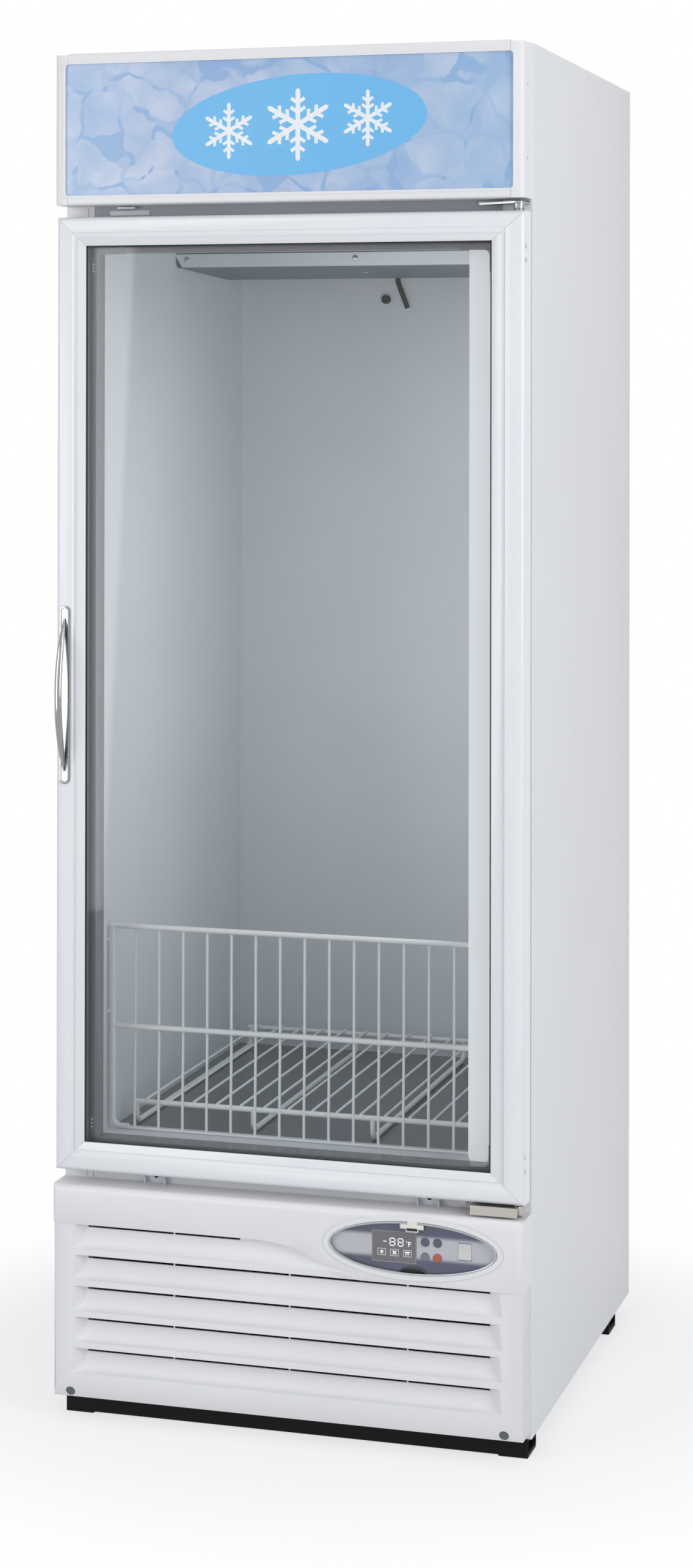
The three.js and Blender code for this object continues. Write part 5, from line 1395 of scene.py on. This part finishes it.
@dataclass
class Door(SubAssembly):
    """The glass door: mitred frame, two panes, spacer, inner frame, gasket and handle."""

    body: str = "door"
    section_round: float = 0.25
    spacer_round: float = 0.3
    profile_round: float = 0.6
    gasket_round: float = 1.4
    handle_x: float = -327.5
    handle_z: float = 1034.0
    handle_length: float = 254.0
    handle_width: float = 16.0
    plate_depth: float = 2.6
    plate_sunk: float = 0.3
    plate_corner_steps: int = 8
    plate_round: float = 1.0
    trough_rim: float = 1.6
    trough_wall: float = 0.8
    trough_depth: float = 1.1
    face: float = -44.6
    reach: float = -77.0
    bow_half: float = 107.0
    bow_section: tuple[float, float] = (5.2, 4.0)
    bow_root: float = 1.5
    bow_taper: float = 0.72
    opening: tuple[float, float, float, float] = (-298.0, 294.0, 398.0, 1675.0)
    outside: tuple[float, float, float, float] = (-341.5, 341.5, 356.4, 1716.0)
    bead_inset: float = 30.5
    bead_radius: float = 0.55
    bead_sunk: float = 0.25
    strip: float = 2.2
    strip_low_share: float = 0.5
    strip_stands: tuple[float, float] = (0.9, 0.1)
    glass_face: float = -39.2
    frame_face: float = -22.9
    screw_y: float = -37.5
    screw_z: tuple[float, ...] = (1667.0, 1648.0, 423.0, 403.5)
    screw_head: Profile = ((0.0, 0.0), (3.6, 0.0), (3.4, 0.4), (2.0, 0.8), (0.0, 0.8))
    dot_x: float = -294.3
    dot_z: tuple[float, float] = (1644.5, 420.5)
    dot_pitch: float = 5.0
    dot_head: Profile = ((0.0, 0.0), (1.7, 0.0), (1.3, 0.35), (0.0, 0.5))

    def build(self) -> None:
        """Builds the door."""
        for node in ("door_stile_handle_side", "door_stile_hinge_side", "door_rail_top", "door_rail_bottom"):
            self.refine(Finishes.painted_section, "white_aluminium", node, self.section_round)
        self.dress(Finishes.glass, "outer_glass", "inner_glass")
        self.refine(Finishes.spacer_metal, "aluminium", "glass_spacer", self.spacer_round)
        self.refine(Finishes.dark_profile, "grey_plastic", "door_inner_frame", self.profile_round)
        self.refine(Finishes.gasket, "gasket_grey", "door_gasket", self.gasket_round)
        self.handle()
        self.glazing_strip()
        self.frame_lines()
        self.side_screws()
        self.corner_key_dots()

    def glazing_strip(self) -> None:
        """Runs the black glazing rubber round the outer pane, inside the frame's lip."""
        low_x, high_x, low_z, high_z = self.opening
        front, rear = (self.glass_face - stand for stand in self.strip_stands)
        bm = bmesh.new()
        for x0, x1, z0, z1 in (
            (low_x, high_x, high_z - self.strip, high_z),
            (low_x, high_x, low_z, low_z + self.strip * self.strip_low_share),
            (low_x, low_x + self.strip, low_z, high_z),
            (high_x - self.strip, high_x, low_z, high_z),
        ):
            block(bm, (x0, front, z0), (x1, rear, z1))
        self.add("glazing_strip", bm, Finishes.black_rubber_and_hole_shade, "black_plastic")

    def frame_lines(self) -> None:
        """Runs the small bead round the frame's face, in four straight runs that meet at the corners."""
        low_x, high_x, low_z, high_z = self.outside
        inset, y = self.bead_inset, self.face + self.bead_sunk
        corners = [
            (low_x + inset, y, low_z + inset),
            (high_x - inset, y, low_z + inset),
            (high_x - inset, y, high_z - inset),
            (low_x + inset, y, high_z - inset),
        ]
        bm = bmesh.new()
        for start, end in zip(corners, corners[1:] + corners[:1]):
            rod(bm, [start, end], self.bead_radius, sides=10)
        self.add("frame_bead", bm, Finishes.painted_section, "white_aluminium")

    def side_screws(self) -> None:
        """Sets the screws of the corner keys in the door's hinge side."""
        bm = bmesh.new()
        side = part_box("door_stile_hinge_side")[1].x / MM
        for z in self.screw_z:
            turned(bm, (side, self.screw_y, z), ACROSS, self.screw_head)
        self.add("corner_key_screws", bm, Finishes.zinc, "pin_steel")

    def corner_key_dots(self) -> None:
        """Adds the small round heads on the inner frame's corner keys, handle side."""
        bm = bmesh.new()
        for middle in self.dot_z:
            for step in (-1, 0, 1):
                at = (self.dot_x, self.frame_face, middle + step * self.dot_pitch)
                turned(bm, at, FRONTWARD, self.dot_head, sides=12)
        self.add("corner_key_dots", bm, Finishes.zinc, "aluminium")

    def handle(self) -> None:
        """Casts the handle: an oval plate with a shallow trough, and a bow that stands off it."""
        back = self.face - self.plate_sunk
        front = back - self.plate_depth
        bm = bmesh.new()
        plate(bm, self.plate_outline(), front, back, bevel=self.plate_round)
        face = [
            f
            for f in bm.faces
            if f.normal.dot(FRONTWARD) > 0.99 and abs(f.calc_center_median().y - front) < 0.1
        ]
        bmesh.ops.inset_region(bm, faces=face, thickness=self.trough_rim, use_even_offset=True)
        bmesh.ops.inset_region(
            bm, faces=face, thickness=self.trough_wall, depth=-self.trough_depth, use_even_offset=True
        )
        self.bow(bm, front + self.bow_root)
        bmesh.ops.recalc_face_normals(bm, faces=bm.faces[:])
        self.add("handle_casting", bm, Finishes.chrome, "chrome", replaces=("door_handle",))

    def plate_outline(self) -> list[tuple[float, float]]:
        """Works out the handle's plate: four quarter rounds, joined by straight runs.

        Returns:
            Its (x, z) corners in order.
        """
        half = self.handle_width / 2
        radius = half - 0.2
        points = []
        for turn, (cx, cz) in enumerate(
            (
                (half - radius, self.handle_length / 2 - radius),
                (radius - half, self.handle_length / 2 - radius),
                (radius - half, radius - self.handle_length / 2),
                (half - radius, radius - self.handle_length / 2),
            )
        ):
            for step in range(self.plate_corner_steps + 1):
                angle = turn * math.pi / 2 + step * math.pi / (2 * self.plate_corner_steps)
                x = self.handle_x + cx + radius * math.cos(angle)
                z = self.handle_z + cz + radius * math.sin(angle)
                points.append((x, z))
        return points

    def bow(self, bm: bmesh.types.BMesh, root_y: float) -> None:
        """Spins the handle's bow: an oval section along an arc, slimmer towards both roots.

        Args:
            bm: The mesh that takes it.
            root_y: The Y of the section's middle at the roots.
        """
        cast = set(bm.verts)
        half_width, half_depth = self.bow_section
        sagitta = root_y - (self.reach + half_depth)
        bend = (self.bow_half**2 + sagitta**2) / (2 * sagitta)
        sweep = 2 * math.asin(self.bow_half / bend)
        centre = Vector((self.handle_x, self.reach + half_depth + bend, self.handle_z))
        start = Matrix.Rotation(-sweep / 2, 4, "X") @ Matrix.Translation((0.0, -bend, 0.0))
        ring = bmesh.ops.create_circle(bm, cap_ends=False, radius=1.0, segments=24)["verts"]
        bmesh.ops.scale(bm, verts=ring, vec=(half_width, half_depth, 1.0))
        bmesh.ops.transform(bm, verts=ring, matrix=Matrix.Translation(centre) @ start)
        loop = edges_of(ring)
        last = bmesh.ops.spin(
            bm, geom=[*ring, *loop], cent=centre, axis=ACROSS, angle=sweep, steps=40
        )["geom_last"]
        bmesh.ops.edgeloop_fill(bm, edges=loop)
        bmesh.ops.edgeloop_fill(bm, edges=[g for g in last if isinstance(g, bmesh.types.BMEdge)])
        for vert in (v for v in bm.verts if v not in cast):
            away = min(1.0, abs(vert.co.z - self.handle_z) / self.bow_half)
            vert.co.x = self.handle_x + (vert.co.x - self.handle_x) * (1.0 - self.bow_taper * away**4)


@dataclass
class Hinges(SubAssembly):
    """The two brackets, their pins and the screw of the lower one."""

    bracket_round: float = 0.4
    pin_round: float = 0.3
    screw_at: tuple[float, float, float] = (253.5, -3.3, 346.9)
    screw_radius: float = 4.4

    def build(self) -> None:
        """Builds the hinges."""
        self.refine(Finishes.steel, "nickel", "top_hinge_bracket", self.bracket_round)
        self.refine(Finishes.nickel, "nickel", "bottom_hinge_bracket", self.bracket_round)
        for node in ("top_hinge_pin", "bottom_hinge_pin"):
            self.refine(Finishes.steel, "pin_steel", node, self.pin_round)
        bm = bmesh.new()
        cross_screw(bm, self.screw_at, FRONTWARD, self.screw_radius)
        self.add("hinge_screw", bm, Finishes.zinc, "pin_steel")
        bm = bmesh.new()
        # The screw's cross recess is painted shade.
        cross_recess_shade(bm, self.screw_at, FRONTWARD, self.screw_radius)
        self.add("hinge_screw_recess_shade", bm, Finishes.black_rubber_and_hole_shade, "black_plastic")


# ---------- inside ----------


@dataclass
class Interior(SubAssembly):
    """The liner, the threshold, the lamp, the evaporator cover, and the wire guard and rack."""

    sill_round: float = 0.5
    cover_round: float = 0.4
    lamp_round: float = 2.0
    guard_y: float = 52.0
    guard_top: float = 691.5
    guard_middle: float = 546.8
    guard_bottom: float = 399.4
    guard_half: float = 288.0
    guard_overhang: float = 3.0
    guard_pitch: float = 36.5
    guard_wires: int = 15
    wire_end_rise: float = 1.0
    guard_joggle: float = 1.5
    joggle_below_wire: float = 20.0
    joggle_above_foot: float = 30.0
    guard_foot: float = 1.9
    guard_foot_rise: float = 0.3
    side_foot_rise: float = 2.6
    side_foot_length: float = 24.0
    wall_pin: float = 3.0
    wall_pin_end: float = 296.6
    wall_pin_from_wire: float = 20.0
    rack_front: float = 100.0
    rack_rear: float = 660.0
    rack_half: float = 272.0
    rack_deck: float = 427.3
    rack_floor: float = 398.3
    rack_pitch: float = 36.0
    rack_wires: int = 15
    rack_overhang: float = 2.0
    rack_runners: int = 4
    rack_runner_pitch: float = 178.7
    thick: float = 4.0
    thin: float = 2.0
    guard_weld: float = 1.4
    rack_weld: float = 1.2
    thick_bend: float = 12.0
    thin_bend: float = 30.0
    cover_front: float = 356.0
    band_low: float = 1659.5
    band_half: float = 296.2
    band_height: float = 20.5
    band_thick: float = 0.9
    band_notch: tuple[float, float] = (10.0, 16.0)
    band_rivets: tuple[float, ...] = (-279.0, -9.0, 243.0)
    band_rivet_rise: float = 12.0
    band_rivet_head: Profile = ((0.0, 0.0), (4.6, 0.0), (4.2, 0.8), (2.4, 1.5), (0.0, 1.7))
    cover_rivet_offset: tuple[float, float] = (14.0, 9.0)
    cover_underside: float = 1650.0
    cover_rivet_head: Profile = ((0.0, 0.0), (4.0, 0.0), (3.4, 0.9), (0.0, 1.4))
    probe_at: tuple[float, float, float] = (-28.0, 686.6, 1650.0)
    probe_path: tuple[tuple[float, float], ...] = ((0.0, 12.0), (0.0, -4.0), (16.0, -46.0))
    probe_radius: float = 4.0
    probe_bend: float = 14.0
    knob_from_probe: tuple[float, float, float] = (-20.0, 4.0, -32.0)
    knob: Profile = ((0.0, 0.0), (7.0, 0.0), (7.0, 7.0), (5.5, 8.5), (0.0, 8.5))

    def build(self) -> None:
        """Builds the inside."""
        walls = ("liner_left_wall", "liner_right_wall", "liner_rear_wall", "liner_ceiling")
        self.dress(Finishes.liner_sheet, *walls)
        # The floor's dark steel colour paints in the compartment's shade.
        self.dress(Finishes.floor_steel_painted_shade, "liner_floor")
        self.refine(Finishes.white_pvc, "white_plastic", "threshold_sill", self.sill_round)
        # The cover's dark grey-blue paints in the shade under it.
        self.refine(Finishes.embossed_painted_shade, "liner_metal", "evaporator_cover", self.cover_round)
        self.evaporator_band()
        self.thermostat_probe()
        self.refine(Finishes.opal, "white_plastic", "interior_lamp", self.lamp_round)
        self.dress(Finishes.fins, "evaporator_coil")
        self.dress(Finishes.black_nylon, "evaporator_fan", "evaporator_fan_motor")
        self.guard()
        self.rack()

    def evaporator_band(self) -> None:
        """Lays the white band along the lower edge of the evaporator cover's front, with its rivets."""
        bm = bmesh.new()
        low, high, half = self.band_low, self.band_low + self.band_height, self.band_half
        front = self.cover_front - self.band_thick
        notch_x, notch_z = self.band_notch
        outline = [(-half, high), (-half, low + notch_z), (-half + notch_x, low), (half, low), (half, high)]
        plate(bm, outline, front, self.cover_front - 0.1)
        bmesh.ops.recalc_face_normals(bm, faces=bm.faces[:])
        self.add("evaporator_cover_band", bm, Finishes.liner_sheet, "liner_metal")
        bm = bmesh.new()
        aside, behind = self.cover_rivet_offset
        for x in self.band_rivets:
            turned(bm, (x, front, low + self.band_rivet_rise), FRONTWARD, self.band_rivet_head)
            under = (x + aside, self.cover_front + behind, self.cover_underside)
            turned(bm, under, DOWNWARD, self.cover_rivet_head)
        self.add("evaporator_cover_rivets", bm, Finishes.zinc, "pin_steel")

    def thermostat_probe(self) -> None:
        """Hangs the bent probe on the rear wall, with the knob beside it."""
        bm = bmesh.new()
        at = Vector(self.probe_at)
        path = [at + Vector((x, 0.0, z)) for x, z in self.probe_path]
        rod(bm, path, self.probe_radius, bend=self.probe_bend, sides=16)
        turned(bm, at + Vector(self.knob_from_probe), FRONTWARD, self.knob)
        bmesh.ops.recalc_face_normals(bm, faces=bm.faces[:])
        self.add("thermostat_probe", bm, Finishes.black_rubber_and_hole_shade, "black_plastic")

    def guard(self) -> None:
        """Bends and welds the guard that keeps the goods off the door."""
        bm = bmesh.new()
        y, half = self.guard_y, self.guard_half
        reach = half + self.guard_overhang
        foot, foot_z = half - self.thick, self.guard_bottom + self.guard_foot_rise
        rod(bm, [(-reach, y, self.guard_top), (reach, y, self.guard_top)], self.thick, sides=16)
        rod(bm, [(-half, y, self.guard_middle), (half, y, self.guard_middle)], self.thick, sides=16)
        rod(bm, [(-foot, y, foot_z), (foot, y, foot_z)], self.guard_foot, sides=12)
        behind = y + self.thick + self.thin - self.guard_weld
        for i in range(self.guard_wires):
            x = (i - (self.guard_wires - 1) / 2) * self.guard_pitch
            path = [
                (x, behind, self.guard_top + self.wire_end_rise),
                (x, behind, self.guard_middle - self.joggle_below_wire),
                (x, y + self.guard_joggle, self.guard_bottom + self.joggle_above_foot),
                (x, y + self.guard_joggle, self.guard_bottom),
            ]
            rod(bm, path, self.thin, bend=self.thin_bend, sides=10, steps=3)
        low = self.guard_bottom + self.side_foot_rise
        for side in Side:
            end = side.value * half
            turn_in = side.value * (half - self.side_foot_length)
            path = [(end, y, self.guard_top), (end, y, low), (turn_in, y, low)]
            rod(bm, path, self.thick, bend=self.thick_bend, sides=16, steps=6)
            for z in (self.guard_top - self.wall_pin_from_wire, self.guard_middle + self.wall_pin_from_wire):
                rod(bm, [(end, y, z), (side.value * self.wall_pin_end, y, z)], self.wall_pin, sides=12)
        bmesh.ops.recalc_face_normals(bm, faces=bm.faces[:])
        self.add("wire_guard_coated", bm, Finishes.coated_wire, "coated_wire", replaces=("wire_guard",))

    def rack(self) -> None:
        """Bends and welds the floor rack."""
        bm = bmesh.new()
        front, rear, half = self.rack_front, self.rack_rear, self.rack_half
        deck, low = self.rack_deck, self.rack_floor
        for y in (front, rear):
            rod(bm, [(-half, y, deck), (half, y, deck)], self.thick, sides=16)
        top = deck + self.thick + self.thin - self.rack_weld
        for i in range(self.rack_wires):
            x = (i - (self.rack_wires - 1) / 2) * self.rack_pitch
            path = [(x, front - self.rack_overhang, top), (x, rear + self.rack_overhang, top)]
            rod(bm, path, self.thin, sides=10)
        for i in range(self.rack_runners):
            x = (i - (self.rack_runners - 1) / 2) * self.rack_runner_pitch
            path = [(x, front, deck), (x, front, low), (x, rear, low), (x, rear, deck)]
            rod(bm, path, self.thick, bend=self.thick_bend, sides=16, steps=6)
        bmesh.ops.recalc_face_normals(bm, faces=bm.faces[:])
        self.add("floor_rack_coated", bm, Finishes.coated_wire, "coated_wire", replaces=("floor_rack",))


@dataclass
class MachineRoom(SubAssembly):
    """The condensing unit under the compartment."""

    compressor_round: float = 2.0

    def build(self) -> None:
        """Builds the machine room."""
        self.dress(Finishes.black_fins, "condenser_coil")
        self.dress(Finishes.black_coat, "condenser_fan_shroud")
        self.dress(Finishes.black_nylon, "condenser_fan")
        self.refine(Finishes.black_coat, "black_paint", "compressor", self.compressor_round)


# ---------- studio ----------


@dataclass(frozen=True)
class SoftBox:
    """A rectangular soft lamp, in metres and watts."""

    name: str
    at: tuple[float, float, float]
    aim: tuple[float, float, float]
    size: tuple[float, float]
    watts: float

    def hang(self) -> None:
        """Hangs the lamp so that it faces its aim."""
        light = bpy.data.lights.new(self.name, "AREA")
        light.shape = "RECTANGLE"
        light.size, light.size_y = self.size
        light.energy = self.watts
        lamp = bpy.data.objects.new(self.name, light)
        lamp.location = self.at
        lamp.rotation_euler = (Vector(self.aim) - Vector(self.at)).to_track_quat("-Z", "Y").to_euler()
        bpy.context.scene.collection.objects.link(lamp)


@dataclass
class Studio:
    """The plain pale floor, the white surround, the soft lamps and the camera, in metres."""

    focal_px: float = 5078.1
    eye: tuple[float, float, float] = (1.24628, -4.53919, 1.46312)
    yaw: float = 0.3037
    pitch: float = 0.0053
    roll: float = 0.0017
    width_px: int = 1131
    height_px: int = 2560
    middle_px: tuple[float, float] = (400.0, 617.27)
    sensor_mm: float = 36.0
    view_end: float = 60.0
    ambient: str = "#eef2f8"
    ambient_strength: float = 0.42
    floor_half: float = 14.0
    floor_fade: tuple[float, float] = (0.45, 0.95)
    floor_white_share: float = 0.68
    floor_shown: str = "#fbfbfc"
    floor_thrown: str = "#d6d7d9"
    soft_boxes: tuple[SoftBox, ...] = (
        SoftBox("front_left_box", (-2.6, -3.6, 1.4), (0.0, -0.3, 0.8), (2.4, 3.0), 63.0),
        SoftBox("front_right_box", (3.4, -2.4, 2.1), (0.1, 0.0, 1.1), (2.0, 3.0), 79.0),
        SoftBox("overhead_box", (0.4, -0.6, 4.4), (0.0, 0.0, 1.0), (3.0, 3.0), 18.0),
        SoftBox("compartment_tube", (0.24, -0.27, 1.2), (-0.25, 0.1, 1.2), (0.05, 0.85), 1.5),
    )

    def build(self) -> None:
        """Sets up the studio."""
        self.world()
        self.floor()
        for soft_box in self.soft_boxes:
            soft_box.hang()
        self.camera()

    def world(self) -> None:
        """Surrounds the object with soft light, which the camera and gloss see as white."""
        world = bpy.data.worlds.new("studio_surround")
        bpy.context.scene.world = world
        world.use_nodes = True
        tree = world.node_tree
        tree.nodes.clear()
        output = add_node(tree, "OutputWorld")
        path = add_node(tree, "LightPath")
        seen = add_node(
            tree,
            "Math",
            {"operation": "MAXIMUM"},
            {0: path.outputs["Is Camera Ray"], 1: path.outputs["Is Transmission Ray"]},
        )
        shown = add_node(
            tree, "Math", {"operation": "MAXIMUM"}, {0: seen.outputs[0], 1: path.outputs["Is Glossy Ray"]}
        )
        ambient = add_node(
            tree, "Background", None, {"Color": linear(self.ambient), "Strength": self.ambient_strength}
        )
        white = add_node(tree, "Background", None, {"Color": grey(1.0), "Strength": 1.0})
        mixed = add_node(
            tree,
            "MixShader",
            None,
            {0: shown.outputs[0], 1: ambient.outputs[0], 2: white.outputs[0]},
        )
        tree.links.new(mixed.outputs[0], output.inputs["Surface"])

    def floor(self) -> None:
        """Lays the floor: pale under the object, white further off, so that it meets the surround."""
        bm = bmesh.new()
        bmesh.ops.create_grid(bm, x_segments=1, y_segments=1, size=self.floor_half)
        mesh = bpy.data.meshes.new("studio_floor")
        bm.to_mesh(mesh)
        bm.free()
        floor = bpy.data.objects.new("studio_floor", mesh)
        bpy.context.scene.collection.objects.link(floor)
        material = bpy.data.materials.new("pale_studio_floor")
        material.use_nodes = True
        tree = material.node_tree
        tree.nodes.clear()
        output = add_node(tree, "OutputMaterial")
        place = add_node(tree, "TexCoord")
        reach = add_node(tree, "VectorMath", {"operation": "LENGTH"}, {0: place.outputs["Object"]})
        near, far_off = self.floor_fade
        far = add_node(
            tree,
            "MapRange",
            {"interpolation_type": "SMOOTHSTEP"},
            {
                "Value": reach.outputs["Value"],
                "From Min": near,
                "From Max": far_off,
                "To Min": self.floor_white_share,
                "To Max": 1.0,
            },
        )
        path = add_node(tree, "LightPath")
        seen = add_node(
            tree,
            "Math",
            {"operation": "MAXIMUM"},
            {0: path.outputs["Is Camera Ray"], 1: path.outputs["Is Glossy Ray"]},
        )
        share = add_node(tree, "Math", {"operation": "MULTIPLY"}, {0: far.outputs[0], 1: seen.outputs[0]})
        # The sheet throws less light up at the object than it shows, so undersides keep their shade.
        sheet = add_node(
            tree,
            "Mix",
            {"data_type": "RGBA"},
            {0: path.outputs["Is Diffuse Ray"], 6: linear(self.floor_shown), 7: linear(self.floor_thrown)},
        )
        matt = add_node(tree, "BsdfDiffuse", None, {"Color": sheet.outputs[2]})
        white = add_node(tree, "Emission", None, {"Color": grey(1.0), "Strength": 1.0})
        mixed = add_node(
            tree,
            "MixShader",
            None,
            {0: share.outputs[0], 1: matt.outputs[0], 2: white.outputs[0]},
        )
        tree.links.new(mixed.outputs[0], output.inputs["Surface"])
        mesh.materials.append(material)

    def camera(self) -> None:
        """Places the camera at the photograph's viewing angle."""
        data = bpy.data.cameras.new("camera")
        data.sensor_width = self.sensor_mm
        data.lens = self.focal_px * self.sensor_mm / self.height_px
        data.shift_x = (self.width_px / 2 - self.middle_px[0]) / self.height_px
        data.shift_y = (self.middle_px[1] - self.height_px / 2) / self.height_px
        data.clip_end = self.view_end
        forward = Vector(
            (
                -math.sin(self.yaw) * math.cos(self.pitch),
                math.cos(self.yaw) * math.cos(self.pitch),
                math.sin(self.pitch),
            )
        )
        right = Vector((math.cos(self.yaw), math.sin(self.yaw), 0.0))
        up = right.cross(forward)
        turned_right = right * math.cos(self.roll) + up * math.sin(self.roll)
        turned_up = up * math.cos(self.roll) - right * math.sin(self.roll)
        camera = bpy.data.objects.new("camera", data)
        frame_matrix = Matrix((turned_right, turned_up, -forward)).transposed()
        camera.matrix_world = Matrix.Translation(self.eye) @ frame_matrix.to_4x4()
        bpy.context.scene.collection.objects.link(camera)
        bpy.context.scene.camera = camera


def main() -> None:
    """Builds the studio and every group in order."""
    bpy.context.scene.view_settings.view_transform = "Standard"
    Studio().build()
    for group in (
        Cabinet(),
        Header(),
        LowerPanel(),
        ControlPanel(),
        Door(),
        Hinges(),
        Interior(),
        MachineRoom(),
    ):
        group.build()
        log.info("%s: %d new pieces", type(group).__name__, len(group.made))


if __name__ == "__main__":
    main()
